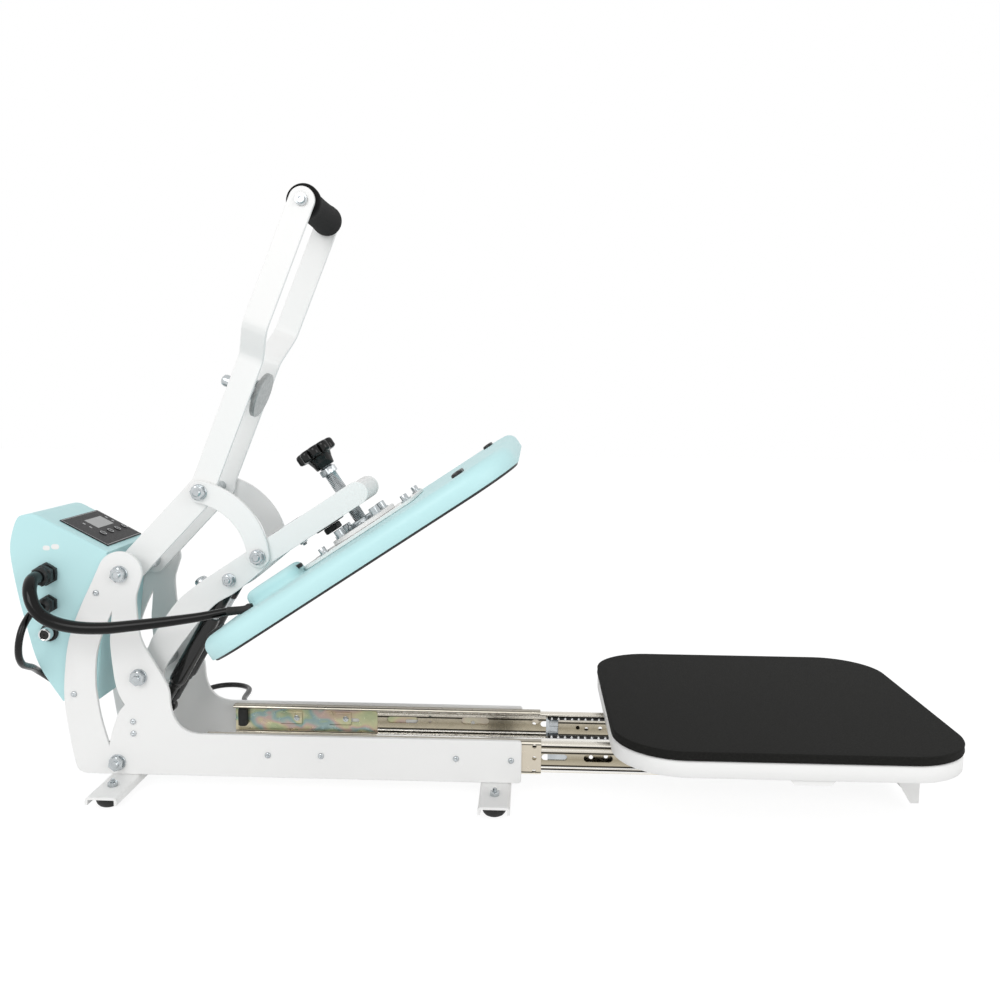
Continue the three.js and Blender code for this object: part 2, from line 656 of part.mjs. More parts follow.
const platenTop = platen.face + platen.thick;
const coverUnder = cover.top - cover.wall;
const posts = [-1, 1].flatMap((along) => [-1, 1].map((across) => {
  const reach = platen.side / 2 - platen.postIn;
  return rodZ(
    platen.post, platenTop - touch, coverUnder - touch, platen.centre + along * reach, across * reach,
  );
}));
armGroup.add(named("heat_plate", joined(
  squareLoft(platen.side, platen.corner, [[0, platen.face], [0, platenTop]], platen.centre),
  ...posts,
), castPlate));

const coverLow = platen.face + cover.lift;
const coverLevels = (wall) =>
  shoulderLevels(cover.shoulder - wall / 2, cover.drop - wall / 2, cover.top - wall, 3)
    .map(([inset, w]) => [inset + wall, w]);
const saddleLow = cover.top + touch;
const humpMiddle = hump.from + hump.long / 2;
const humpLoft = (wall, low) => {
  const steps = shoulderLevels(hump.round, hump.round, hump.high - wall, 2);
  return lofted([[0, low], ...steps].map(([inset, w]) => {
    const along = hump.long / 2 - wall - inset;
    const across = hump.half - wall - inset;
    const clip = hump.round;
    return [
      [along, -across + clip], [along, across - clip], [along - clip, across],
      [-along + clip, across], [-along, across - clip], [-along, -across + clip],
      [-along + clip, -across], [along - clip, -across],
    ].map(([x, y]) => [humpMiddle + x, hump.middle + y, w]);
  }));
};
armGroup.add(named("platen_cover", cut(
  joined(
    squareLoft(cover.side, cover.corner, [[0, coverLow], ...coverLevels(0)], platen.centre),
    humpLoft(0, coverUnder),
  ),
  squareLoft(
    cover.side, cover.corner, [[cover.wall, coverLow - overrun], ...coverLevels(cover.wall)],
    platen.centre,
  ),
), powderMint));

const saddleTop = saddleLow + saddle.thick;
const saddleEnd = saddle.from + saddle.long;
armGroup.add(named("platen_saddle", solid(
  block(saddle.from, saddleEnd, -saddle.half, saddle.half, saddleLow, saddleTop),
), powderWhite));

const collarLow = saddleTop + touch;
const collarTop = collarLow + collar.thick;
const seatTop = collarTop + collar.bossHigh;
const screwLow = collarLow + collar.thick / 2;
const collarBolts = [45, 135, 225, 315].map((degrees) => {
  const angle = rad(degrees);
  return rodZ(
    collar.bolt, collarTop - touch, collarTop + collar.boltHigh,
    screwAxis + collar.boltOut * Math.cos(angle), collar.boltOut * Math.sin(angle), slender,
  );
});
armGroup.add(named("thrust_collar", cut(
  joined(
    rodZ(collar.radius, collarLow, collarTop, screwAxis, 0),
    rodZ(collar.boss, collarTop - touch, seatTop, screwAxis, 0),
    ...collarBolts,
  ),
  screwHole(screwLow - touch, seatTop + overrun),
), powderWhite));

armGroup.add(named("pressure_screw", joined(
  rodZ(screw.radius, screwLow, screw.top, screwAxis, 0),
  rodZ(hexRadius(screw.nut), screw.nutFrom, screw.nutFrom + screw.nutHigh, screwAxis, 0, hexSides),
), zinc));
const knobWaist = 0.7; // how far the hollows cut into a lobe, as a share of its radius
const knobLobes = Array.from({ length: knob.lobes }, (_, i) => {
  const angle = (2 * Math.PI * i) / knob.lobes;
  const out = knob.radius - knob.lobe;
  return rodZ(
    knob.lobe, knob.plate, knob.plate + knob.high,
    screwAxis + out * Math.cos(angle), out * Math.sin(angle), slender,
  );
});
armGroup.add(named("pressure_knob", cut(
  joined(
    coneZ(knob.neck, knob.flare, knob.neckFrom, knob.plate + touch, screwAxis, 0),
    rodZ(knob.radius - knob.lobe * knobWaist, knob.plate, knob.plate + knob.high, screwAxis, 0),
    ...knobLobes,
  ),
  rodZ(screw.radius + touch, knob.neckFrom - overrun, screw.top + touch, screwAxis, 0),
), blackPlastic));

// The strain relief where the heating lead enters the cover
const reliefBody = new THREE.CylinderGeometry(relief.tip, relief.root, 2 * relief.long, round)
  .rotateZ(Math.PI / 2).rotateY(rad(relief.dip))
  .translate(relief.u, relief.y, cover.top);
armGroup.add(named("lead_strain_relief", cut(
  solid(reliefBody),
  block(relief.u - 3 * relief.long, relief.u + 3 * relief.long,
    relief.y - relief.long, relief.y + relief.long, -3 * relief.long, saddleLow),
), blackPlastic));

// The lever, drawn level and then raised about its pivot

const leverGroup = new THREE.Group();
leverGroup.position.set(leverPivot.x, 0, leverPivot.z);
leverGroup.rotation.y = -rad(leverOpen);
machine.add(leverGroup);

const crankRise = rad(lever.crankRise);
const hubX = lever.crank * Math.cos(crankRise);
const hubZ = lever.crank * Math.sin(crankRise);
const barHalf = lever.wide / 2;
const leverInner = arm.half;
const leverOuter = leverInner + lever.sheet;
const highInner = leverInner + joggle.out;
const highOuter = highInner + lever.sheet;
const gripX = hubX + lever.reach;

const joggleEnd = joggle.from + joggle.long;
const bend = lever.sheet * Math.tan(Math.atan2(joggle.out, joggle.long) / 2);
const stripShape = polygon([
  [hubX, -leverInner], [hubX, -leverOuter], [hubX + joggle.from - bend, -leverOuter],
  [hubX + joggleEnd - bend, -highOuter], [gripX, -highOuter], [gripX, -highInner],
  [hubX + joggleEnd, -highInner], [hubX + joggle.from, -leverInner],
]);
const leverHole = (radius, x, z) =>
  rodY(radius + running, -highOuter - overrun, highOuter + overrun, x, z);
const nearLever = named("near_lever_bar", cut(
  joined(
    sheetXZ(capsule(0, 0, hubX, hubZ, lever.hub), -leverOuter, -leverInner),
    sheetXY(stripShape, hubZ - barHalf, hubZ + barHalf),
    rodY(barHalf, -highOuter, -highInner, gripX, hubZ),
  ),
  leverHole(leverPivot.radius, 0, 0),
  leverHole(grip.screw, gripX, hubZ),
), powderWhite);
leverGroup.add(nearLever, acrossFrom(nearLever, "far_lever_bar"));

const leverFace = leverInner - touch;
leverGroup.add(named(
  "lever_spacer", solid(rodY(spacer.radius, -leverFace, leverFace, hubX, hubZ)), zinc,
));

const rodHalf = highInner - touch;
const gripPieces = [
  rodY(grip.rod, -rodHalf, rodHalf, gripX, hubZ),
  rodY(grip.screw, -highOuter - grip.headHigh, highOuter + grip.headHigh, gripX, hubZ, slender),
];
for (const side of [-1, 1]) {
  const face = side * (highOuter + touch);
  const head = face + side * grip.headHigh;
  gripPieces.push(rodY(grip.screwHead, Math.min(face, head), Math.max(face, head), gripX, hubZ));
}
leverGroup.add(named("grip_rod", joined(...gripPieces), zinc));
const foamHalf = rodHalf - grip.endGap;
leverGroup.add(named("foam_grip", cut(
  solid(rodY(grip.radius, -foamHalf, foamHalf, gripX, hubZ)),
  rodY(grip.rod + touch, -foamHalf - overrun, foamHalf + overrun, gripX, hubZ),
), blackFoam));

// The armature that the electromagnet holds, on a web across the lever
const armatureX = armPivot.x + magnet.u - leverPivot.x;
const armatureFace = armPivot.z + magnet.face + touch - leverPivot.z;
const armatureTop = armatureFace + armature.thick;
leverGroup.add(named("armature", joined(
  rodZ(armature.disc, armatureFace, armatureTop, armatureX, 0),
  rodZ(armature.bolt, armatureTop - touch, hubZ + armature.rear, armatureX, 0, slender),
  rodZ(hexRadius(armature.nut), hubZ + armature.rear - armature.nutHigh, hubZ + armature.rear,
    armatureX, 0, hexSides),
  block(armatureX - armature.web / 2, armatureX + armature.web / 2, -leverFace, leverFace,
    hubZ - armature.webThick / 2, hubZ + armature.webThick / 2),
), zinc));

// The two curved links that join the lever's hub to the arm. The pin at the hub is left open.

const spun = (x, z, degrees) => [
  x * Math.cos(rad(degrees)) - z * Math.sin(rad(degrees)),
  x * Math.sin(rad(degrees)) + z * Math.cos(rad(degrees)),
];
const [pinDx, pinDz] = spun(linkPin.u, linkPin.w, armOpen);
const pinRest = [armPivot.x + pinDx, armPivot.z + pinDz];
const [hubDx, hubDz] = spun(hubX, hubZ, leverOpen);
const hubRest = [leverPivot.x + hubDx, leverPivot.z + hubDz];

function linkShape() {
  const [px, pz] = pinRest;
  const [hx, hz] = hubRest;
  const chord = Math.hypot(hx - px, hz - pz);
  const curve = (chord * chord) / (8 * link.bow) + link.bow / 2;
  const across = [(hz - pz) / chord, (px - hx) / chord];
  const back = curve - link.bow;
  const centre = [(px + hx) / 2 - back * across[0], (pz + hz) / 2 - back * across[1]];
  const from = Math.atan2(pz - centre[1], px - centre[0]);
  const to = Math.atan2(hz - centre[1], hx - centre[0]);
  const shape = new THREE.Shape();
  shape.absarc(centre[0], centre[1], curve + link.half, from, to, false);
  shape.absarc(hx, hz, link.half, to, to + Math.PI, false);
  shape.absarc(centre[0], centre[1], curve - link.half, to, from, true);
  shape.absarc(px, pz, link.half, from + Math.PI, from + 2 * Math.PI, false);
  shape.closePath();
  return shape;
}

const linkSteps = 7;
const hubWasher = -linkOuter - bolts.washer;
const hubHead = hubWasher - bolts.head;
const nearLink = named("near_arc_link", cut(
  joined(
    sheetXZ(linkShape(), -linkOuter, -linkInner, linkSteps),
    rodY(bolts.washerRadius, hubWasher, -linkInner, ...hubRest),
    rodY(hexRadius(bolts.acrossFlats), hubHead, -linkInner, ...hubRest, hexSides),
    rodY(bolts.tipRadius, hubHead - bolts.tip, -linkInner, ...hubRest, slender),
  ),
  rodY(linkPin.radius + running, -linkOuter - overrun, -linkInner + overrun, ...pinRest),
), powderWhite);
machine.add(nearLink, acrossFrom(nearLink, "far_arc_link"));

// The two gas springs, side by side between the arm plates, each from the arm down to its foot

const [topDx, topDz] = spun(springPin.u, springPin.w, armOpen);
const springTop = [armPivot.x + topDx, armPivot.z + topDz];
const springLong = Math.hypot(springTop[0] - springFoot.x, springTop[1] - springFoot.z);
const springGroup = new THREE.Group();
springGroup.position.set(springTop[0], 0, springTop[1]);
springGroup.rotation.y = Math.atan2(springTop[0] - springFoot.x, springTop[1] - springFoot.z);
machine.add(springGroup);

for (const [side, y] of [["near", -spring.half], ["far", spring.half]]) {
  const eyeHalf = spring.eyeThick / 2;
  springGroup.add(named(`${side}_spring_cylinder`, cut(
    joined(
      rodY(spring.eye, y - eyeHalf, y + eyeHalf, 0, 0),
      rodZ(spring.neck, -spring.from - overrun, 0, 0, y),
      rodZ(spring.body, -spring.to, -spring.from, 0, y),
    ),
    rodY(springPin.radius + running, y - spring.eye, y + spring.eye, 0, 0),
    rodZ(rod.radius + running, -spring.to - overrun, -spring.bore, 0, y),
  ), blackPaint));
  const rodEyeHalf = rod.eyeThick / 2;
  springGroup.add(named(`${side}_spring_rod`, cut(
    joined(
      rodY(rod.eye, y - rodEyeHalf, y + rodEyeHalf, 0, -springLong),
      rodZ(rod.radius, rod.neck - springLong, rod.long - springLong, 0, y, slender),
      rodZ(rodEyeHalf, -springLong, rod.neck + touch - springLong, 0, y, slender),
    ),
    rodY(rod.eyeHole, y - rod.eye, y + rod.eye, 0, -springLong),
  ), blackPaint));
}

// The heating lead from the control box to the platen

machine.add(named("platen_lead", solid(
  tube(leadRoute, lead.diameter, lead.sides, lead.stepShare),
), blackCable));

// The power cord: the stretch that lies free, its coil in two layers and its plug

free.add(named("power_cord", solid(
  tube(cordRoute, cord.diameter, cord.sides, cord.stepShare),
), blackCable));

// Turns spiral in on the table, climb where the spiral reverses and go out again above.
function coilRoute() {
  const lay = cord.diameter / 2 + touch;
  const top = lay + coil.rise;
  const count = coil.turns * coilMesh.steps;
  const spiral = Array.from({ length: count + 1 }, (_, i) => {
    const turn = (i / count) * coil.turns;
    const climbed = (turn - coil.turns / 2) / coil.climb + 1 / 2;
    const share = THREE.MathUtils.smoothstep(climbed, 0, 1);
    const radius = coil.outer - coil.pitch * Math.min(turn, coil.turns - turn);
    const angle = Math.PI / 2 - 2 * Math.PI * turn;
    return [
      coil.x + radius * Math.cos(angle), coil.y + radius * Math.sin(angle), lay + coil.rise * share,
    ];
  });
  return [
    [coil.x - coilMesh.straight, coil.y + coil.outer, lay],
    ...spiral,
    [coil.x - coilMesh.straight, coil.y - coil.outer, top],
    [coil.x - coilMesh.tail, coil.y - coil.outer, plug.high / 2 + touch],
  ];
}

// A tube whose rings stand square to a list of points, closed at both ends.
function ringTube(route, diameter, sides) {
  const along = route.map((point, i) => {
    const before = new THREE.Vector3(...route[Math.max(0, i - 1)]);
    const after = new THREE.Vector3(...route[Math.min(route.length - 1, i + 1)]);
    return after.sub(before).normalize();
  });
  const up = new THREE.Vector3(0, 0, 1);
  return lofted(route.map((point, i) => {
    const sideways = new THREE.Vector3().crossVectors(up, along[i]).normalize();
    const over = new THREE.Vector3().crossVectors(along[i], sideways);
    return Array.from({ length: sides }, (_, k) => {
      const angle = (2 * Math.PI * k) / sides;
      return new THREE.Vector3(...point)
        .addScaledVector(sideways, (diameter / 2) * Math.cos(angle))
        .addScaledVector(over, (diameter / 2) * Math.sin(angle)).toArray();
    });
  }));
}

// The least gap between stretches of a route that are more than half a turn apart.
function leastGap(route, diameter) {
  let least = Infinity;
  route.forEach((a, i) => route.slice(i + coilMesh.steps / 2).forEach((b) => {
    least = Math.min(least, Math.hypot(a[0] - b[0], a[1] - b[1], a[2] - b[2]) - diameter);
  }));
  return least;
}

const coilPoints = coilRoute();
console.log("least gap in the cord's coil", leastGap(coilPoints, cord.diameter).toFixed(2), "mm");
free.add(named("cord_coil", solid(ringTube(coilPoints, cord.diameter, coilMesh.sides)), blackCable));

const plugFace = coil.x - coilMesh.tail - plug.clear;
const plugBody = plugFace - plug.neckLong;
const plugEnd = plugBody - plug.long;
const plugMiddle = plug.high / 2 + touch;
const plugY = coil.y - coil.outer;
const neck = new THREE.CylinderGeometry(cord.diameter / 2, plug.neck, plug.neckLong + touch, slender)
  .rotateZ(-Math.PI / 2).translate(plugFace - (plug.neckLong + touch) / 2, plugY, plugMiddle);
const pins = [-1, 1].map((side) => {
  const middle = plugY + side * plugPin.half;
  return block(plugEnd - plugPin.long, plugEnd + touch,
    middle - plugPin.wide / 2, middle + plugPin.wide / 2,
    plugMiddle - plugPin.wide, plugMiddle + plugPin.wide);
});
free.add(named("power_plug", joined(
  neck,
  block(plugEnd, plugBody, plugY - plug.wide / 2, plugY + plug.wide / 2,
    plugMiddle - plug.high / 2, plugMiddle + plug.high / 2),
  ...pins,
), blackPlastic));

// The origin is under the middle of the machine, on the table

const extent = new THREE.Box3().setFromObject(machine, true);
const centre = extent.getCenter(new THREE.Vector3());
const heatPress = new THREE.Group();
heatPress.add(machine, free);
machine.position.set(-centre.x, -centre.y, -extent.min.z);
free.position.copy(machine.position);

export default heatPress;
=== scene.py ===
"""A slide-out heat press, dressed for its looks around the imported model.

Pieces are drawn in millimetres as they are made: x from the arm's pivot, y from the middle, z from
the table. A place turns that into the machine's own frame in metres.
"""
from math import atan2, ceil, cos, hypot, pi, radians, sin, tan

import bmesh
import bpy
from mathutils import Matrix, Vector


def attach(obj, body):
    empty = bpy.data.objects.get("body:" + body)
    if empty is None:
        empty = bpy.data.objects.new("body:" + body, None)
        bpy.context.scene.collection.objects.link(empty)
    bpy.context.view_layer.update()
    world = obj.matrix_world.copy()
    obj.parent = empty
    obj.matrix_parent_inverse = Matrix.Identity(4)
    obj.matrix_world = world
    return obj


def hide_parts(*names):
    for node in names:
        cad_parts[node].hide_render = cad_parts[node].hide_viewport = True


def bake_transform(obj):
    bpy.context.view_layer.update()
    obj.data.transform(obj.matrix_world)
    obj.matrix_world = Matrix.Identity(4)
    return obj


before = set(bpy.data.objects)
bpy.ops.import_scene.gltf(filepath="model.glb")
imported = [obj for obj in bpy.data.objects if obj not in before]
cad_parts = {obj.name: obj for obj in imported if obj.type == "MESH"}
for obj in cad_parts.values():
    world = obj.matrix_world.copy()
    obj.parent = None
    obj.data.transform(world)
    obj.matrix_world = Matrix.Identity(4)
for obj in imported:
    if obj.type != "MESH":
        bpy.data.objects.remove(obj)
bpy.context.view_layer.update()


# The camera stands in front of the machine and a little above it, at the photo's own angle and
# distance, and takes in the photo's square frame.

camera_mm = (65.2, -1159.8, 474.4)
picture_right = Vector((0.99942, 0.03203, 0.01180))
picture_up = Vector((-0.01527, 0.11070, 0.99374))
focal_px = 971.9
picture_px = 1000
sensor_mm = 36

camera = bpy.data.objects.new("camera", bpy.data.cameras.new("camera"))
camera.data.lens = focal_px / picture_px * sensor_mm
camera.data.sensor_width = sensor_mm
camera.data.clip_start = 0.05
turned = Matrix((picture_right, picture_up, picture_right.cross(picture_up))).transposed()
camera.matrix_world = Matrix.LocRotScale(Vector(camera_mm) / 1000, turned, None)
bpy.context.scene.collection.objects.link(camera)
bpy.context.scene.camera = camera


# The power cord: a black PVC sheath over three cores, 8 mm thick. It drops from its gland behind
# the box, lies on the table and is wound into a coil of two layers behind the far side plate.

middle_mm = 389.2  # from the arm's pivot to the middle of the machine


def place(turn=0, x=0, z=0):
    """Where a piece drawn in millimetres goes, turned up about a point by an angle in degrees."""
    shift = Matrix.Translation((-middle_mm / 1000, 0, 0)) @ Matrix.Scale(0.001, 4)
    return shift @ Matrix.Translation((x, 0, z)) @ Matrix.Rotation(radians(-turn), 4, "Y")


def smooth_line(points, step):
    """Points along one smooth curve through the given ones, about a step apart."""
    points = [Vector(p) for p in points]
    ends = [points[0] * 2 - points[1], *points, points[-1] * 2 - points[-2]]
    line = []
    for a, b, c, d in zip(ends, ends[1:], ends[2:], ends[3:]):
        gaps = [max(1e-4, (q - p).length) ** 0.5 for p, q in ((a, b), (b, c), (c, d))]
        start = ((b - a) / gaps[0] - (c - a) / (gaps[0] + gaps[1]) + (c - b) / gaps[1]) * gaps[1]
        stop = ((c - b) / gaps[1] - (d - b) / (gaps[1] + gaps[2]) + (d - c) / gaps[2]) * gaps[1]
        count = max(1, ceil((c - b).length / step))
        for i in range(count):
            t = i / count
            line.append(
                b * (2 * t**3 - 3 * t**2 + 1) + start * (t**3 - 2 * t**2 + t)
                + c * (3 * t**2 - 2 * t**3) + stop * (t**3 - t**2)
            )
    return [*line, points[-1]]


def colour(code):
    """A hex colour as linear red, green, blue and alpha."""
    parts = [int(code[i:i + 2], 16) / 255 for i in (1, 3, 5)]
    return (*(v / 12.92 if v <= 0.04045 else ((v + 0.055) / 1.055) ** 2.4 for v in parts), 1)


def node(material, kind, inputs=None, **settings):
    """Adds a shader node to a material or the world, and sets or joins its inputs."""
    made = material.node_tree.nodes.new("ShaderNode" + kind)
    for name, value in settings.items():
        setattr(made, name, value)
    for key, value in (inputs or {}).items():
        if isinstance(value, bpy.types.NodeSocket):
            material.node_tree.links.new(value, made.inputs[key])
        else:
            made.inputs[key].default_value = value
    return made


def finish(name, surface):
    """A material whose surface is what the given function makes of its object coordinates."""
    material = bpy.data.materials.new(name)
    material.use_nodes = True
    material.node_tree.nodes.clear()
    place_on = node(material, "TexCoord").outputs["Object"]
    shader = node(material, "BsdfPrincipled", surface(material, place_on))
    node(material, "OutputMaterial", {"Surface": shader.outputs[0]})
    return material


def grain(material, vector, size_mm, detail=2.0, rough=0.5):
    """Noise whose blotches are about that many millimetres across."""
    return node(material, "TexNoise", {
        "Vector": vector, "Scale": 1000 / size_mm / 2, "Detail": detail, "Roughness": rough,
    }).outputs["Fac"]


def spread(material, value, low, high):
    """Noise stretched over a narrow range of values."""
    return node(material, "MapRange", {
        "Value": value, "From Min": 0.3, "From Max": 0.7, "To Min": low, "To Max": high,
    }).outputs["Result"]


def relief(material, height, depth_mm, strength=1.0):
    """Bump of a real depth."""
    return node(material, "Bump", {
        "Height": height, "Distance": depth_mm / 1000, "Strength": strength,
    }).outputs["Normal"]


def tint(material, share, low, high):
    """A colour between two hex colours."""
    mixed = node(material, "Mix", {"Factor": share, 6: colour(low), 7: colour(high)},
                 data_type="RGBA")
    return mixed.outputs[2]


# Flexible PVC, extruded: glossy with faint flow lines and the odd dull patch from handling.
def cable_sheath(material, at):
    patches = grain(material, at, 18)
    return {
        "Base Color": tint(material, patches, "#030303", "#070707"),
        "Roughness": spread(material, patches, 0.18, 0.3), "Specular IOR Level": 0.3,
        "IOR": 1.53,
        "Normal": relief(material, grain(material, at, 3), 0.05, 0.4),
    }


black_pvc = finish("extruded black PVC sheath", cable_sheath)


def piece(name, mesh, where, material, body, *stands_for, sharp=38):
    """Puts a mesh drawn in millimetres in its place, finished and riding on a body."""
    mesh.transform(where)
    mesh.shade_smooth()
    mesh.set_sharp_from_angle(angle=radians(sharp))
    mesh.materials.clear()
    mesh.materials.append(material)
    made = bpy.data.objects.new(name, mesh)
    bpy.context.scene.collection.objects.link(made)
    if body:
        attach(made, body)
    if stands_for:
        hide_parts(*stands_for)
    return made


def cable_tube(line, first_mm, last_mm, sides=16):
    """A closed round tube along a line, tapered mostly towards its end, with untwisted rings."""
    rings = []
    sideways = Vector((0, 0, 1))
    for i, point in enumerate(line):
        along = (line[min(i + 1, len(line) - 1)] - line[max(i - 1, 0)]).normalized()
        sideways = (sideways - along * sideways.dot(along)).normalized()
        over = along.cross(sideways)
        across_mm = first_mm + (last_mm - first_mm) * (i / (len(line) - 1)) ** 2
        rings.append([
            point + (sideways * cos(a) + over * sin(a)) * across_mm / 2
            for a in (2 * pi * k / sides for k in range(sides))
        ])
    return lofted([rings])


def lofted(shells):
    """One mesh of shells over rings of as many points each, capped unless they come round."""
    shape = bmesh.new()
    for rings in shells:
        levels = [[shape.verts.new(p) for p in ring] for ring in rings]
        for low, high in zip(levels, levels[1:]):
            for k in range(len(low)):
                turn = (k + 1) % len(low)
                corners = [low[k], low[turn], high[turn], high[k]]
                shape.faces.new(corners)
        if rings[0] != rings[-1]:
            shape.faces.new(levels[0][::-1])
            shape.faces.new(levels[-1])
    bmesh.ops.remove_doubles(shape, verts=shape.verts, dist=1e-4)
    bmesh.ops.recalc_face_normals(shape, faces=shape.faces)
    mesh = bpy.data.meshes.new("shape")
    shape.to_mesh(mesh)
    shape.free()
    return mesh


cord_mm = 8
cord_lay = 4.3  # height of its middle where it lies on the table
cord_route = [
    (-105.7, -79.6, 221.4), (-105.7, -87, 221.4), (-106.1, -96, 220.1), (-107, -104.2, 216.6),
    (-109.2, -115.4, 205.4), (-111.8, -119.5, 189.4), (-114.8, -115.2, 173.4),
    (-117.6, -103.5, 161), (-120.8, -86, 153.2), (-124.5, -68, 146.5), (-127, -50, 137),
    (-122, -27, 119), (-114.5, -8, 99), (-109.5, 7, 76), (-106, 19, 52), (-103.5, 32, 29),
    (-99.5, 48, 11.5), (-93, 68, 5),
    (-86, 88, 4.3), (-75, 118, 4.3), (-62, 160, 4.3), (-53, 210, 4.3), (-48.5, 260, 4.3),
    (-47, 300, 4.3), (-44.4, 313, 4.3), (-37, 324, 4.3), (-26, 331.4, 4.3), (-13, 334, 4.3),
    (0, 331.4, 4.3), (11, 324, 4.3), (18.4, 313, 4.3), (21, 300, 4.3), (25.5, 262, 4.3),
    (52, 218, 4.3), (95, 191, 4.3), (140, 181.5, 4.3), (159, 181, 4.3),
]
coil_middle = Vector((178, 132))
coil_outer, coil_pitch, coil_rise = 49, 8.8, 8.6
coil_turns, coil_climb, coil_steps = 3.5, 0.5, 72
coil_straight, coil_tail = 10, 48
plug_high, plug_wide, plug_long = 18, 26, 40


def coil_line():
    """The coil's own line: it spirals in on the table, climbs and spirals out again above."""
    line = []
    for i in range(int(coil_turns * coil_steps) + 1):
        turn = i / coil_steps
        climbed = min(1, max(0, (turn - coil_turns / 2) / coil_climb + 0.5))
        lift = coil_rise * climbed**2 * (3 - 2 * climbed)
        radius = coil_outer - coil_pitch * min(turn, coil_turns - turn)
        angle = pi / 2 - 2 * pi * turn
        flat = coil_middle + Vector((cos(angle), sin(angle))) * radius
        line.append(Vector((flat.x, flat.y, cord_lay + lift)))
    return line


tail_y = coil_middle.y - coil_outer
coil_exit = [
    (coil_middle.x - coil_straight, tail_y, cord_lay + coil_rise),
    (coil_middle.x - coil_tail, tail_y, plug_high / 2 + 0.3),
]
cord_line = [*smooth_line(cord_route, 5), *coil_line(), *map(Vector, coil_exit)]
cord = piece(
    "power_cord_sheath", cable_tube(cord_line, cord_mm, cord_mm), place(), black_pvc, "frame",
    "power_cord", "cord_coil", sharp=60,
)


# Its plug: PVC moulded round two flat pins, with a ribbed neck that keeps the cord from kinking.
# It lies on the table beside the coil.

def ellipse_ring(along, width, height, centre, power=2.0, count=32):
    """A rounded outline square to X."""
    ring = []
    for k in range(count):
        a = 2 * pi * k / count
        c, s = cos(a), sin(a)
        y = abs(c) ** (2 / power) * width / 2 * (1 if c >= 0 else -1)
        z = abs(s) ** (2 / power) * height / 2 * (1 if s >= 0 else -1)
        ring.append(Vector((along, centre[0] + y, centre[1] + z)))
    return ring


plug_at = (tail_y, plug_high / 2 + 0.3)
neck_from = coil_exit[1][0] + 1
neck_ribs, rib_apart, rib_first, rib_grows = 5, 3.4, 8.8, 0.9
neck_rings = []
for rib in range(neck_ribs):
    start = neck_from - rib * rib_apart
    girth = rib_first + rib * rib_grows
    neck_rings += [
        ellipse_ring(start, girth - 1.2, girth - 1.2, plug_at),
        ellipse_ring(start - 0.5, girth, girth, plug_at),
        ellipse_ring(start - 1.9, girth + 0.3, girth + 0.3, plug_at),
        ellipse_ring(start - 2.4, girth - 1.0, girth - 1.0, plug_at),
    ]
grip_from = neck_from - neck_ribs * rib_apart
body_rings = [
    ellipse_ring(grip_from - share * plug_long, plug_wide * wide, plug_high * high, plug_at, 3.4)
    for share, wide, high in (
        (0, 0.48, 0.62), (0.06, 0.6, 0.74), (0.2, 0.72, 0.86), (0.4, 0.82, 0.92),
        (0.6, 0.9, 0.96), (0.8, 0.97, 0.98), (0.94, 0.98, 0.98), (0.985, 0.95, 0.95),
        (1, 0.88, 0.9),
    )
]


def moulded_plastic(material, at):
    """Injection-moulded nylon or PVC: even black with a fine satin skin."""
    return {
        "Base Color": tint(material, grain(material, at, 9), "#0d0d0d", "#181818"),
        "Roughness": spread(material, grain(material, at, 4), 0.36, 0.5),
        "IOR": 1.5,
        "Normal": relief(material, grain(material, at, 0.8), 0.02, 0.5),
    }


black_moulding = finish("moulded black plastic", moulded_plastic)
plug = piece(
    "cord_plug", lofted([neck_rings, body_rings]), place(), black_moulding, "frame", "power_plug",
)


def box_shell(x0, x1, y0, y1, z0, z1, edge=0.3):
    """A block with its edges taken off."""
    outline = [
        (x0 + edge, y0), (x1 - edge, y0), (x1, y0 + edge), (x1, y1 - edge),
        (x1 - edge, y1), (x0 + edge, y1), (x0, y1 - edge), (x0, y0 + edge),
    ]
    inner = [
        (x0 + 2 * edge, y0 + edge), (x1 - 2 * edge, y0 + edge), (x1 - edge, y0 + 2 * edge),
        (x1 - edge, y1 - 2 * edge), (x1 - 2 * edge, y1 - edge), (x0 + 2 * edge, y1 - edge),
        (x0 + edge, y1 - 2 * edge), (x0 + edge, y0 + 2 * edge),
    ]
    levels = [(inner, z0), (outline, z0 + edge), (outline, z1 - edge), (inner, z1)]
    return [[Vector((x, y, z)) for x, y in ring] for ring, z in levels]


# Nickel-plated brass pins: bright, drawn lengthwise.
def plated_brass(material, at):
    return {
        "Base Color": colour("#c9c2b2"), "Metallic": 1.0,
        "Roughness": spread(material, grain(material, at, 2), 0.2, 0.32),
    }


pin_metal = finish("nickel plated brass", plated_brass)
pin_root, pin_reach, pin_apart, pin_thick, pin_wide = grip_from - plug_long + 1, 18, 13, 1.6, 6.2
pins = piece("plug_pins", lofted([
    box_shell(pin_root - pin_reach, pin_root, y - pin_thick / 2, y + pin_thick / 2,
              plug_at[1] - pin_wide / 2, plug_at[1] + pin_wide / 2)
    for y in (tail_y - pin_apart / 2, tail_y + pin_apart / 2)
]), place(), pin_metal, "frame")

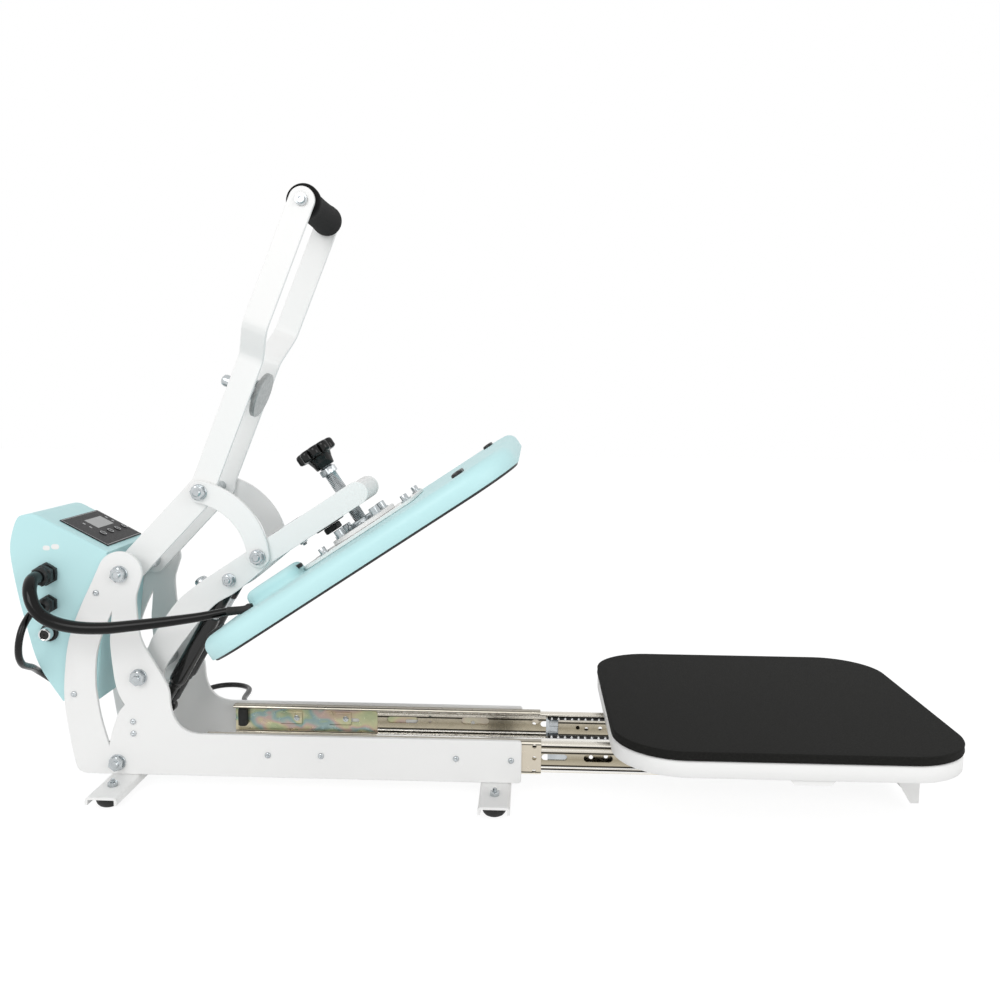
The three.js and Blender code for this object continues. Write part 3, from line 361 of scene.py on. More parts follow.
# A black hook-and-loop strap holds the coil together. It is woven nylon, wrapped once round the
# turns and closed on itself.
strap_path = [
    (32.5, 0.15), (54, 0.15), (54.6, 1.5), (54.6, 15.5), (53.5, 17.4), (31, 17.4), (29.8, 16),
    (29.8, 1.5),
]
strap_half, strap_thick = 6, 0.12
strap_shape = bmesh.new()
strap_levels = [
    [strap_shape.verts.new((coil_middle.x + x, coil_middle.y + y, z)) for x, z in strap_path]
    for y in (-strap_half, strap_half)
]
for k in range(len(strap_path)):
    turn = (k + 1) % len(strap_path)
    strap_shape.faces.new([
        strap_levels[0][k], strap_levels[0][turn], strap_levels[1][turn], strap_levels[1][k],
    ])
bmesh.ops.recalc_face_normals(strap_shape, faces=strap_shape.faces)
bmesh.ops.solidify(strap_shape, geom=strap_shape.faces[:], thickness=strap_thick)
strap_mesh = bpy.data.meshes.new("strap")
strap_shape.to_mesh(strap_mesh)
strap_shape.free()


# Woven nylon loop pile: dull, slightly hairy.
def woven_nylon(material, at):
    weave = grain(material, at, 0.9)
    return {
        "Base Color": tint(material, weave, "#0e0e0e", "#202020"), "Roughness": 0.9,
        "Sheen Weight": 0.3, "Normal": relief(material, weave, 0.3, 0.8),
    }


coil_strap = piece("coil_strap", strap_mesh, place(), finish("woven nylon strap", woven_nylon),
                   "frame")


# The heating lead: a thick black silicone lead with the platen's supply and sensor wires. It
# leaves the box through a gland, swings round in front of the side plate and enters the cover.

lead_mm, lead_first, lead_last = 13, 15.2, 8.6
lead_route = [
    (-106.8, -84.5, 256.8), (-106.6, -90, 256.8), (-105.6, -97.6, 255.7), (-103.9, -104.8, 252.4),
    (-101.1, -112, 245.6), (-97, -116.4, 236), (-91.3, -118, 226.5), (-82.3, -117.8, 218),
    (-69, -116.3, 211.6), (-49.3, -114, 207.2), (-19.2, -112, 206.3), (14, -110, 209.5),
    (43.5, -108, 213.1), (87.8, -105, 219.7), (117.2, -102, 225.7), (122, -102, 226.4),
]


# Silicone rubber sheath: deep black, softer gloss than PVC, with handling marks.
def silicone_sheath(material, at):
    patches = grain(material, at, 25)
    return {
        "Base Color": tint(material, patches, "#020202", "#050505"),
        "Roughness": spread(material, patches, 0.14, 0.26),
        "IOR": 1.45, "Specular IOR Level": 0.28,
        "Normal": relief(material, grain(material, at, 5), 0.12, 0.5),
    }


lead_line = smooth_line(lead_route, 4)
lead = piece(
    "heating_lead", cable_tube(lead_line, lead_first, lead_last, 24), place(),
    finish("black silicone sheath", silicone_sheath), None, "platen_lead", sharp=60,
)
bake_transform(lead)


# The two side plates: 5 mm sheet steel, laser cut with one lens-shaped hole, deburred and coated
# white. They stand on the foot channels and carry everything else between them.

half_gap, sheet_mm = 60, 5
bar_low, bar_high, bar_front, bar_corner = 18, 51, 449.4, 4
upright_deep, upright_high = 90, 241
lever_x, lever_z = -19.2, 258.9
lobe_radius, lobe_from, lobe_to = 26, 150, -5
upright_fillet = 36
rear_shares = [
    (-0.73, 0), (-0.84, 0.017), (-0.893, 0.075), (-0.955, 0.213), (-1, 0.376),
    (-0.973, 0.538), (-0.908, 0.676), (-0.757, 0.824), (-0.58, 0.961),
]
front_shares = [
    (-0.005, 0.9), (-0.013, 0.85), (0.011, 0.731), (0.062, 0.658), (0.191, 0.572),
    (0.32, 0.487), (0.385, 0.427), (0.4, 0.36),
]
lens_rear_shares = [
    (-0.331, 0.816), (-0.479, 0.695), (-0.556, 0.592), (-0.58, 0.471), (-0.565, 0.385),
    (-0.518, 0.272), (-0.427, 0.142),
]
lens_low_shares = [(-0.427, 0.142), (-0.374, 0.222), (-0.286, 0.31), (-0.201, 0.351)]
lens_front_shares = [
    (-0.201, 0.351), (-0.278, 0.405), (-0.328, 0.482), (-0.369, 0.645), (-0.355, 0.73),
    (-0.331, 0.816),
]


def flat_spline(points, steps=10):
    """A smooth line through flat points, at even steps between them."""
    ends = [points[0], *points, points[-1]]
    line = []
    for a, b, c, d in zip(ends, ends[1:], ends[2:], ends[3:]):
        for i in range(steps):
            t = i / steps
            line.append(tuple(
                b[k] + t * ((c[k] - a[k]) / 2 + t * (
                    a[k] - 2.5 * b[k] + 2 * c[k] - d[k] / 2
                    + t * (1.5 * b[k] - a[k] / 2 - 1.5 * c[k] + d[k] / 2)))
                for k in (0, 1)
            ))
    return [*line, points[-1]]


def arc(x, y, radius, start, stop, steps=24):
    """Points on an arc, in degrees."""
    return [
        (x + radius * cos(radians(start + (stop - start) * i / steps)),
         y + radius * sin(radians(start + (stop - start) * i / steps)))
        for i in range(steps + 1)
    ]


def cut_sheet(outlines, low, high, edge=0.6):
    """Sheet cut to an outline and its holes, lying from low to high, its edges broken."""
    curve = bpy.data.curves.new("sheet", "CURVE")
    curve.dimensions, curve.fill_mode = "2D", "BOTH"
    curve.extrude = (high - low) / 2 - edge
    curve.bevel_depth, curve.bevel_resolution, curve.offset = edge, 0, -edge
    for outline in outlines:
        kept = [p for p, q in zip(outline, outline[1:] + outline[:1])
                if hypot(p[0] - q[0], p[1] - q[1]) > 0.02]
        spline = curve.splines.new("POLY")
        spline.points.add(len(kept) - 1)
        spline.use_cyclic_u = True
        for point, (x, y) in zip(spline.points, kept):
            point.co = (x, y, 0, 1)
    holder = bpy.data.objects.new("sheet", curve)
    bpy.context.scene.collection.objects.link(holder)
    made = bpy.data.meshes.new_from_object(
        holder.evaluated_get(bpy.context.evaluated_depsgraph_get()))
    bpy.data.objects.remove(holder)
    bpy.data.curves.remove(curve)
    shape = bmesh.new()
    shape.from_mesh(made)
    bmesh.ops.translate(shape, verts=shape.verts, vec=(0, 0, (low + high) / 2))
    bmesh.ops.remove_doubles(shape, verts=shape.verts, dist=2e-3)
    bmesh.ops.recalc_face_normals(shape, faces=shape.faces)
    shape.to_mesh(made)
    shape.free()
    return made


def upright(mesh):
    """Turns a sheet that was cut lying down so that its Y points up and its top faces -Y."""
    mesh.transform(Matrix.Rotation(pi / 2, 4, "X"))
    return mesh


sides = ((-1, "near"), (1, "far"))


def side_sheet(outlines, side, inner):
    """A sheet stood upright on one side, its inner face so far from the machine's middle."""
    return upright(cut_sheet(outlines, *sorted((-side * inner, -side * (inner + sheet_mm)))))


def at_share(share):
    return share[0] * upright_deep, bar_low + share[1] * upright_high


bar_top = bar_low + bar_high
fillet_start = at_share(front_shares[-1])
fillet = []
for i in range(1, 13):
    t = i / 12
    fillet.append((
        (1 - t) ** 2 * fillet_start[0] + 2 * t * (1 - t) * (fillet_start[0] + bar_corner)
        + t**2 * (fillet_start[0] + upright_fillet),
        (1 - t) ** 2 * fillet_start[1] + (2 * t * (1 - t) + t**2) * bar_top,
    ))
side_outline = [
    *flat_spline([at_share(s) for s in rear_shares]),
    *arc(lever_x, lever_z, lobe_radius, lobe_from, lobe_to, 40),
    *flat_spline([at_share(s) for s in front_shares]),
    *fillet,
    *arc(bar_front - bar_corner, bar_top - bar_corner, bar_corner, 90, 0, 6),
    *arc(bar_front - bar_corner, bar_low + bar_corner, bar_corner, 0, -90, 6),
]
lens = [
    *flat_spline([at_share(s) for s in lens_rear_shares])[:-1],
    *flat_spline([at_share(s) for s in lens_low_shares])[:-1],
    *flat_spline([at_share(s) for s in lens_front_shares])[:-1],
]


def powder(name, code, shade):
    """Polyester powder coat baked on steel: a satin skin with a fine orange peel."""
    def skin(material, at):
        return {
            "Base Color": tint(material, grain(material, at, 60), shade, code),
            "Roughness": spread(material, grain(material, at, 7), 0.38, 0.48),
            "IOR": 1.5,
            "Normal": relief(material, grain(material, at, 1.6), 0.035, 0.35),
        }
    return finish(name, skin)


powder_white = powder("white powder coat", "#f4f4f3", "#f1f1f0")
for side, name in sides:
    plate = piece(f"{name}_cheek", side_sheet([side_outline, lens], side, half_gap), place(),
                  powder_white, "frame", f"{name}_side_plate")


# The bolts across the machine: zinc-plated steel, each with a washer and a chamfered nut at both
# ends and thread showing past it, and turned sleeves that space the plates.

def turned_rings(profile, sides=48):
    """Rings of a turned shape about Z, from a profile of (radius, height)."""
    return [
        [Vector((r * cos(2 * pi * k / sides), r * sin(2 * pi * k / sides), z))
         for k in range(sides)]
        for r, z in profile
    ]


def hex_rings(across_flats, low, high, chamfer=0.9, sides=48):
    """Rings of a hexagon nut about Z, its corners turned off at both faces."""
    apothem = across_flats / 2
    corner = apothem / cos(pi / 6)
    levels = [
        (corner - 1.6 * chamfer, low), (corner, low + chamfer * 0.6),
        (corner, high - chamfer * 0.6), (corner - 1.6 * chamfer, high),
    ]
    rings = []
    for limit, z in levels:
        ring = []
        for k in range(sides):
            a = 2 * pi * k / sides
            side = (a + pi / 6) % (pi / 3) - pi / 6
            r = min(apothem / cos(side), limit)
            ring.append(Vector((r * cos(a), r * sin(a), z)))
        rings.append(ring)
    return rings


def thread_rings(radius, low, high, pitch=1.5, sides=32):
    """Rings of a threaded end about Z, its thread drawn as grooves."""
    profile = [(radius - 1.2, low), (radius - 0.2, low + 0.8)]
    z = low + 0.8
    while z + pitch < high - 1:
        profile += [(radius, z + 0.4 * pitch), (radius - 0.55, z + 0.8 * pitch)]
        z += pitch
    return turned_rings([*profile, (radius - 0.2, high - 0.8), (radius - 1.1, high)], sides)


def moved(shells, matrix):
    """The same shells in another place."""
    return [[[matrix @ p for p in ring] for ring in rings] for rings in shells]


def across(shells, x=0, z=0):
    """Turns shells made about Z to lie along Y, from -Y towards +Y, at a place."""
    return moved(shells, Matrix.Translation((x, 0, z)) @ Matrix.Rotation(-pi / 2, 4, "X"))


to_near = Matrix.Scale(-1, 4, (0, 0, 1))  # turned over, so that across lays a shell towards -Y


def bolt_end(face, side, radius=5, washer=9.8, across_flats=15.5, head=6.5, tip=3, spin=10):
    """Washer, nut and thread end outside a plate, along Z, out from a face to one side."""
    turn = Matrix.Rotation(radians(spin), 4, "Z")
    if side < 0:
        turn = to_near @ turn
    return moved([
        turned_rings([
            (radius, face), (washer, face), (washer, face + 1.6), (washer - 0.5, face + 2),
            (radius, face + 2),
        ]),
        hex_rings(across_flats, face + 2, face + 2 + head),
        thread_rings(radius - 0.5, face + 1, face + 2 + head + tip),
    ], turn)


def zinc_plate(material, at):
    """Bright zinc plate: bluish silver, lightly clouded, with fine drawing marks."""
    cloud = grain(material, at, 6)
    return {
        "Base Color": tint(material, cloud, "#a2a8ab", "#d3d7d9"), "Metallic": 1.0,
        "Roughness": spread(material, grain(material, at, 2.5), 0.16, 0.3),
        "Normal": relief(material, grain(material, at, 1), 0.02, 0.4),
    }


zinc = finish("bright zinc plate", zinc_plate)
outer_face = half_gap + sheet_mm + 0.15
sleeve_share, clearance = 1.7, 0.3
arm_in = 36
arm_out = arm_in + sheet_mm
inner_face, arm_gap = half_gap - clearance, arm_in - clearance
beside_arm = [(-inner_face, -arm_out - clearance), (-arm_gap, arm_gap),
              (arm_out + clearance, inner_face)]
arm_pivot_z = 136.7
machine_bolts = {
    "rear_tie_bolt": (-28.3, 32.7, 5, [(-inner_face, inner_face)]),
    "arm_pivot_bolt": (0, arm_pivot_z, 6, beside_arm),
    "lever_pivot_bolt": (lever_x, lever_z, 6, beside_arm),
}
for bolt, (x, z, radius, sleeves) in machine_bolts.items():
    shells = [turned_rings([(radius, -outer_face), (radius, outer_face)])]
    for low, high in sleeves:
        wide = radius * sleeve_share
        shells.append(turned_rings([
            (wide - 0.6, low), (wide, low + 0.6), (wide, high - 0.6), (wide - 0.6, high),
        ]))
    for side in (-1, 1):
        shells += bolt_end(outer_face, side)
    made = piece(f"{bolt}_set", lofted(across(shells, x, z)), place(), zinc, "frame", bolt)


# Two foot channels: 3 mm sheet folded into an upside-down U, coated white, across under the side
# plates. A nut on each end holds its rubber foot.

def folded(path, thick, bend, steps=6):
    """The outline of sheet folded along a flat path, with round bends."""
    line = [path[0]]
    for a, b, c in zip(path, path[1:], path[2:]):
        before = hypot(b[0] - a[0], b[1] - a[1])
        after = hypot(c[0] - b[0], c[1] - b[1])
        turn = abs(atan2(
            (b[0] - a[0]) * (c[1] - b[1]) - (b[1] - a[1]) * (c[0] - b[0]),
            (b[0] - a[0]) * (c[0] - b[0]) + (b[1] - a[1]) * (c[1] - b[1])))
        reach = bend * tan(turn / 2)
        p = [b[k] - (b[k] - a[k]) / before * reach for k in (0, 1)]
        q = [b[k] + (c[k] - b[k]) / after * reach for k in (0, 1)]
        for i in range(steps + 1):
            t = i / steps
            line.append(tuple(
                (1 - t) ** 2 * p[k] + 2 * t * (1 - t) * b[k] + t**2 * q[k] for k in (0, 1)))
    line.append(path[-1])
    left, right = [], []
    for i, point in enumerate(line):
        a, b = line[max(i - 1, 0)], line[min(i + 1, len(line) - 1)]
        long = hypot(b[0] - a[0], b[1] - a[1])
        nx, ny = (a[1] - b[1]) / long, (b[0] - a[0]) / long
        left.append((point[0] + nx * thick / 2, point[1] + ny * thick / 2))
        right.append((point[0] - nx * thick / 2, point[1] - ny * thick / 2))
    return left + right[::-1]


def drawn_out(outline, low, high, edge=0.3):
    """One shell: a section run along Y between two places, its end edges broken."""
    mid = [sum(p[k] for p in outline) / len(outline) for k in (0, 1)]

    def ring(at, shrink):
        points = []
        for a, b in outline:
            long = max(1e-6, hypot(a - mid[0], b - mid[1]))
            points.append(Vector((a - (a - mid[0]) / long * shrink, at,
                                  b - (b - mid[1]) / long * shrink)))
        return points

    return [ring(low, edge), ring(low + edge, 0), ring(high - edge, 0), ring(high, edge)]


foot_wide, foot_sheet, foot_lip, foot_half, foot_top = 36, 3, 9, 132, 17.7
foot_places = {"front": 419.8, "rear": -20.1}
for end, x in foot_places.items():
    inset = foot_sheet / 2
    section = folded([
        (x - foot_wide / 2 + inset, foot_top - foot_lip),
        (x - foot_wide / 2 + inset, foot_top - inset),
        (x + foot_wide / 2 - inset, foot_top - inset),
        (x + foot_wide / 2 - inset, foot_top - foot_lip),
    ], foot_sheet, 3)
    channel = piece(
        f"{end}_foot_rail", lofted([drawn_out(section, -foot_half, foot_half, edge=0)]), place(),
        powder_white, "frame", f"{end}_foot_channel",
    )


# Rubber feet: moulded black rubber with a rounded tread, each held by a stud through the channel.

def moulded_rubber(material, at):
    return {
        "Base Color": tint(material, grain(material, at, 5), "#151514", "#232322"),
        "Roughness": spread(material, grain(material, at, 3), 0.62, 0.78),
        "IOR": 1.52,
        "Normal": relief(material, grain(material, at, 0.9), 0.05, 0.6),
    }


black_rubber = finish("moulded black rubber", moulded_rubber)
foot_profile = [
    (2, 0.1), (6, 0), (8.6, 0.5), (10.8, 1.8), (12.6, 4), (13.8, 6.8), (14.3, 9.5), (14.4, 12.6),
    (14.0, 13.6), (13.0, 14.2), (3, 14.3),
]
foot_y, stud_y = 110, 99
for end, x in foot_places.items():
    for side, name in sides:
        shells = moved([turned_rings(foot_profile)], Matrix.Translation((x, side * foot_y, 0)))
        foot = piece(f"rubber_foot_pad_{end}_{name}", lofted(shells), place(), black_rubber,
                     "frame", f"rubber_foot_{end}_{name}")


def row_of(name, shape_mesh, points, material, body, where, turn=(0, 0, 0)):
    """Puts one small piece at many places with a geometry node tree, as one plain mesh."""
    tree = bpy.data.node_groups.new(name, "GeometryNodeTree")
    tree.interface.new_socket("Places", in_out="INPUT", socket_type="NodeSocketGeometry")
    small = tree.interface.new_socket("Piece", in_out="INPUT", socket_type="NodeSocketObject")
    angle = tree.interface.new_socket("Turn", in_out="INPUT", socket_type="NodeSocketVector")
    tree.interface.new_socket("Pieces", in_out="OUTPUT", socket_type="NodeSocketGeometry")
    start = tree.nodes.new("NodeGroupInput")
    info = tree.nodes.new("GeometryNodeObjectInfo")
    put = tree.nodes.new("GeometryNodeInstanceOnPoints")
    whole = tree.nodes.new("GeometryNodeRealizeInstances")
    coat = tree.nodes.new("GeometryNodeSetMaterial")
    stop = tree.nodes.new("NodeGroupOutput")
    coat.inputs["Material"].default_value = material
    for a, b in (
        (start.outputs["Places"], put.inputs["Points"]),
        (start.outputs["Piece"], info.inputs["Object"]),
        (start.outputs["Turn"], put.inputs["Rotation"]),
        (info.outputs["Geometry"], put.inputs["Instance"]),
        (put.outputs["Instances"], whole.inputs["Geometry"]),
        (whole.outputs["Geometry"], coat.inputs["Geometry"]),
        (coat.outputs["Geometry"], stop.inputs["Pieces"]),
    ):
        tree.links.new(a, b)
    pattern = bpy.data.objects.new(name + "_pattern", shape_mesh)
    places = bpy.data.meshes.new(name + "_places")
    places.from_pydata([tuple(p) for p in points], [], [])
    holder = bpy.data.objects.new(name + "_holder", places)
    for made in (pattern, holder):
        bpy.context.scene.collection.objects.link(made)
    modifier = holder.modifiers.new("row", "NODES")
    modifier.node_group = tree
    modifier[small.identifier] = pattern
    modifier[angle.identifier] = turn
    result = bpy.data.meshes.new_from_object(
        holder.evaluated_get(bpy.context.evaluated_depsgraph_get()))
    for made in (holder, pattern):
        bpy.data.objects.remove(made)
    row = piece(name, result, where, material, body)


# On each channel end a small zinc-plated nut holds the foot's stud.
stud_nut = lofted([hex_rings(10, 0, 5, 0.5), thread_rings(2.9, 4, 8.5, 1)])
row_of("foot_stud_nuts", stud_nut,
       [(x, side * stud_y, foot_top + 0.1) for x in foot_places.values() for side in (-1, 1)],
       zinc, "frame", place())

# Small zinc-plated screws with a round head and a dimpled recess hold the slides, the box and the
# spring bracket to the plates.
screw_head = turned_rings([
    (3.4, 0), (3.6, 0.5), (3.4, 1.3), (2.7, 1.9), (1.5, 2.1), (0.4, 1.2),
], 24)
side_screws = [
    (151, 45.5), (213.8, 46), (372.8, 46.5), (437.2, 45.8), (-47.6, 236), (-78, 114.5),
    (-8.4, 82.7), (-8.4, 68.2),
]
for side, name in sides:
    row_of(f"{name}_plate_screws", lofted([screw_head]),
           [(x, side * (half_gap + sheet_mm + 0.1), z) for x, z in side_screws],
           zinc, "frame", place(), (-side * pi / 2, 0, 0))


# The springs' foot: a white bracket between the side plates with lugs for one lower pin. Its solid
# already has the real shape, so it is only given its finish.
def coat(material, *nodes):
    """Gives CAD nodes a finish."""
    for name in nodes:
        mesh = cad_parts[name].data
        mesh.materials.clear()
        mesh.materials.append(material)


coat(powder_white, "spring_foot_bracket")


# The control box: 1.5 mm sheet folded round two curved sides and coated mint, its near side a
# cover. A dark film panel with a display window and four buttons lies on its sloping top.

powder_mint = powder("mint powder coat", "#c5ecee", "#bde6e9")
box_rear, box_front, box_low, box_top = 150, 35.5, 104, 328
box_half, lid_thick, lid_seam = inner_face, 2, 0.3
box_rear_shares = [
    (0.485, 0), (0.249, 0.195), (0.124, 0.428), (0.051, 0.599), (0, 0.78), (0.019, 0.878),
    (0.086, 0.97), (0.176, 0.991), (0.24, 0.9935), (0.3, 0.984),
]
box_front_shares = [(1, 0.799), (0.831, 0)]


def box_point(share):
    return (-box_rear + share[0] * (box_rear - box_front),
            box_low + share[1] * (box_top - box_low))


box_outline = [*flat_spline([box_point(s) for s in box_rear_shares], 12),
               *[box_point(s) for s in box_front_shares]]
box_wall = piece(
    "control_box_body",
    upright(cut_sheet([box_outline], -box_half, box_half - lid_thick - lid_seam, 1.2)),
    place(), powder_mint, "frame", "control_box_shell",
)
box_side = piece(
    "control_box_lid", upright(cut_sheet([box_outline], box_half - lid_thick, box_half, 0.7)),
    place(), powder_mint, "frame", "control_box_cover",
)

slope_deg, slope_share = 27.35, 0.24
on_slope = (
    place(0, -box_rear + slope_share * (box_rear - box_front), box_top)
    @ Matrix.Rotation(radians(slope_deg), 4, "Y")
)


def panel_film(material, at):
    """Printed polyester film, near black with a faint tooth."""
    return {
        "Base Color": tint(material, grain(material, at, 12), "#1d1c1d", "#252325"),
        "Specular IOR Level": 0.25,
        "Roughness": spread(material, grain(material, at, 1), 0.42, 0.55),
        "Normal": relief(material, grain(material, at, 0.5), 0.01, 0.5),
    }


panel_from, panel_long, panel_near, panel_far = 25.5, 64, -40, 58.4
panel_face = 1.5
dark_film = finish("printed dark film", panel_film)


def on_panel(x0, x1, y0, y1):
    return [(x0, y0), (x1, y0), (x1, y1), (x0, y1)]


panel_end = panel_from + panel_long
panel = piece(
    "panel_film", cut_sheet([on_panel(panel_from, panel_end, panel_near, panel_far)],
                            0.1, panel_face, 0.3),
    on_slope, dark_film, "frame", "control_panel",
)


def display_glass(material, at):
    """A pale grey liquid crystal window behind clear film."""
    return {
        "Base Color": tint(material, grain(material, at, 20), "#858686", "#8f9090"),
        "Roughness": 0.18, "Coat Weight": 0.4,
    }


window = piece(
    "display_window", cut_sheet([on_panel(38, 57.5, -2, 42)], 1.4, 1.75, 0.15),
    on_slope, finish("display window", display_glass), "frame",
)


def printed_line(material, at):
    """Light grey ink on the film, slightly worn."""
    return {"Base Color": colour("#b9babb"),
            "Roughness": spread(material, grain(material, at, 2), 0.5, 0.6)}


grey_ink = finish("light grey ink", printed_line)
printed = piece("panel_printing", lofted([
    [[Vector((x, y, panel_face + rise)) for x, y in on_panel(*bar)] for rise in (-0.05, 0.06)]
    for bar in (
        (panel_from + 1.4, panel_end - 1.4, panel_near + 1.2, panel_near + 1.9),
        (panel_from + 1.4, panel_end - 1.4, panel_far - 1.9, panel_far - 1.2),
        (panel_from + 1.2, panel_from + 1.9, panel_near + 1.2, panel_far - 1.2),
        (panel_end - 1.9, panel_end - 1.2, panel_near + 1.2, panel_far - 1.2),
        (41.5, 45, -13.5, -10.5), (50.5, 54, -13.5, -10.5), (41.5, 45, 48.5, 51.5),
        (50.5, 54, 48.5, 51.5),
    )
]), on_slope, grey_ink, "frame")
button_along, button_apart, button_middle = 68.2, 20.5, 20
icon_bars = [
    [(-1.4, 1.4, -0.25, 0.25)], [(-0.25, 0.25, -1.4, 1.4)],
    [(-1.4, 1.4, -0.25, 0.25), (-0.25, 0.25, -1.4, 1.4)], [(-0.7, 0.7, -0.7, 0.7)],
]
for i, bars in enumerate(icon_bars):
    middle = (button_along, button_middle + (i - 1.5) * button_apart, 0)
    on_button = on_slope @ Matrix.Translation(middle)
    cap = piece(f"button_cap_{i + 1}", lofted([turned_rings([
        (4.3, 1.2), (4.6, 1.6), (4.6, 2.2), (4.2, 2.5), (0.3, 2.5),
    ], 32)]), on_button, dark_film, f"button_{i + 1}", f"button_{i + 1}")
    icon = piece(f"button_icon_{i + 1}", lofted([
        [[Vector((r * cos(a), r * sin(a), z)) for a in (2 * pi * k / 40 for k in range(40))]
         for r, z in ((3.1, 2.45), (4.2, 2.45), (4.2, 2.58), (3.1, 2.58), (3.1, 2.45))],
        *[[[Vector((x, y, z)) for x, y in on_panel(*bar)] for z in (2.45, 2.58)] for bar in bars],
    ]), on_button, grey_ink, f"button_{i + 1}")


# Moulded cable glands: a hexagon against the box, a domed nut on it and a rubber seal round the
# cable. Below them a fuse holder with its chrome cap.

def gland(name, x, z, scale, cable, stands_for):
    face, dome, end = box_half + 0.1, 10.5 * scale, 24 * scale
    shells = [
        hex_rings(24 * scale, face, face + 5 * scale, 1.0),
        turned_rings([(9.5 * scale, face + 4 * scale), (9.5 * scale, face + 8 * scale)]),
        hex_rings(22 * scale, face + 7 * scale, face + 15 * scale, 1.2),
        turned_rings([
            (dome, face + 14 * scale), (dome, face + 18 * scale), (dome * 0.93, face + 20 * scale),
            (dome * 0.78, face + 21.5 * scale), (cable / 2 + 1.2, face + end),
            (cable / 2 + 0.2, face + end), (cable / 2, face + 18 * scale),
        ]),
    ]
    made = piece(name, lofted(across(moved(shells, to_near), x, z)), place(), black_moulding,
                 "frame", stands_for)


gland("lead_gland_set", -106.8, 256.8, 1, lead_first, "lead_gland")
gland("cord_gland_set", -105.7, 221.4, 0.8, cord_mm, "power_gland")


def chrome(material, at):
    """Decorative chrome plate: near mirror."""
    return {"Base Color": colour("#d9dadb"), "Metallic": 1.0,
            "Roughness": spread(material, grain(material, at, 3), 0.08, 0.16)}


bright_chrome = finish("chrome plate", chrome)
fuse_x, fuse_z = -106.6, 187
ring_shells = moved([
    turned_rings([(10.5, 59.8), (10.5, 62.2), (10, 63.2), (8.6, 63.6), (8.2, 63.2), (7.8, 62.6)]),
    turned_rings([(5.2, 66), (5.2, 72.4), (4.6, 72.9), (1.2, 72.9), (1, 72), (0.3, 72)]),
], to_near)
fuse_ring = piece("fuse_holder_ring", lofted(across(ring_shells, fuse_x, fuse_z)), place(),
                  black_moulding, "frame", "fuse_holder")
cap_shells = moved([
    turned_rings([(7.7, 60.5), (7.7, 70.6), (7.2, 73), (6.2, 73.7), (5.4, 73.4), (5.3, 66)]),
], to_near)
fuse_cap = piece("fuse_holder_cap", lofted(across(cap_shells, fuse_x, fuse_z)), place(),
                 bright_chrome, "frame")


# Two small bare labels of white film, cut to ovals and stuck on the box's cover above the glands.
# They are smooth, a little brighter than the coat round them, and carry no print.
def label_film(material, at):
    return {"Base Color": tint(material, grain(material, at, 10), "#f2f2f0", "#f6f6f4"),
            "Roughness": 0.4}


def oval(x, z, long, high):
    return [*arc(x - (long - high) / 2, z, high / 2, 90, 270, 12),
            *arc(x + (long - high) / 2, z, high / 2, -90, 90, 12)]


white_film = finish("white label film", label_film)
for name, outline in (
    ("near", oval(-106.7, 287.1, 8.6, 5.7)), ("front", oval(-96.2, 288.7, 9.6, 6.2)),
):
    label = piece(f"bare_label_{name}",
                  upright(cut_sheet([outline], box_half + 0.05, box_half + 0.25, 0.05)), place(),
                  white_film, "frame")


# The arm: two 5 mm side sheets, welded to a round-ended bar with the screw's nut boss between
# them, and an electromagnet that catches the lever's disc when the press is shut.

arm_deg = 33.8
on_arm = place(arm_deg, 0, arm_pivot_z)
arm_top, arm_deep, arm_reach, arm_lobe = 54, 27, 344.5, 22
heel_shares = [(0.04, 0.4), (0.097, 0.6), (0.233, 0.925), (0.35, 1)]
belly_shares = [(0.592, 0.5), (0.427, 0.389), (0.308, 0.38), (0.085, -0.085)]


def arm_point(share):
    return share[0] * arm_reach, share[1] * arm_top


tip = arm_deep / 2
lobe_arc = arc(0, 0, arm_lobe, 120, 300, 30)
arm_outline = [
    *lobe_arc,
    *flat_spline([lobe_arc[-1], *[arm_point(s) for s in reversed(belly_shares)]], 12)[1:],
    *arc(arm_reach - tip, arm_top - tip, tip, -90, 90, 20),
    *flat_spline([*[arm_point(s) for s in reversed(heel_shares)], lobe_arc[0]], 12)[:-1],
]
for side, name in sides:
    cheek = piece(f"{name}_arm_cheek", side_sheet([arm_outline], side, arm_in), on_arm,
                  powder_white, "arm", f"{name}_arm_plate")

screw_u = 309.5
nut_long, nut_thick, boss_radius, boss_low = 50, 25, 17.5, 28.2
tip_u, tip_w = arm_reach - tip, arm_top - tip
nut_rear = tip_u - nut_long + nut_thick
nut_outline = [*arc(nut_rear, tip_w, nut_thick / 2, 90, 270, 20),
               *arc(tip_u, tip_w, nut_thick / 2, -90, 90, 20)]
boss_top = tip_w + nut_thick / 2
boss_profile = [
    (8.4, boss_low), (boss_radius - 1, boss_low), (boss_radius, boss_low + 1),
    (boss_radius, boss_top - 1), (boss_radius - 1, boss_top), (8.4, boss_top),
]


def around(u, shells):
    """Shells made about Z, set on the machine's middle at a place along it."""
    return moved(shells, Matrix.Translation((u, 0, 0)))


bar = piece("screw_nut_bar", upright(cut_sheet([nut_outline], -arm_gap, arm_gap, 0.6)), on_arm,
            powder_white, "arm", "arm_nut_block")
boss = piece("screw_nut_boss", lofted(around(screw_u, [turned_rings(boss_profile)])), on_arm,
             powder_white, "arm")

magnet_u, magnet_face = 229.5, 55
magnet = piece("magnet_pot", lofted([
    *around(magnet_u, [turned_rings([
        (22.5, 28), (24, 29.5), (24, 53.8), (23.2, 55), (15.2, 55), (15, 54.2), (9.2, 54.2),
        (9, 55), (4, 55), (3.6, 53.6), (1, 53.6),
    ], 64)]),
    box_shell(magnet_u - 20, magnet_u + 20, -arm_gap, arm_gap, 28.2, 31.8, 0.4),
]), on_arm, zinc, "arm", "electromagnet")

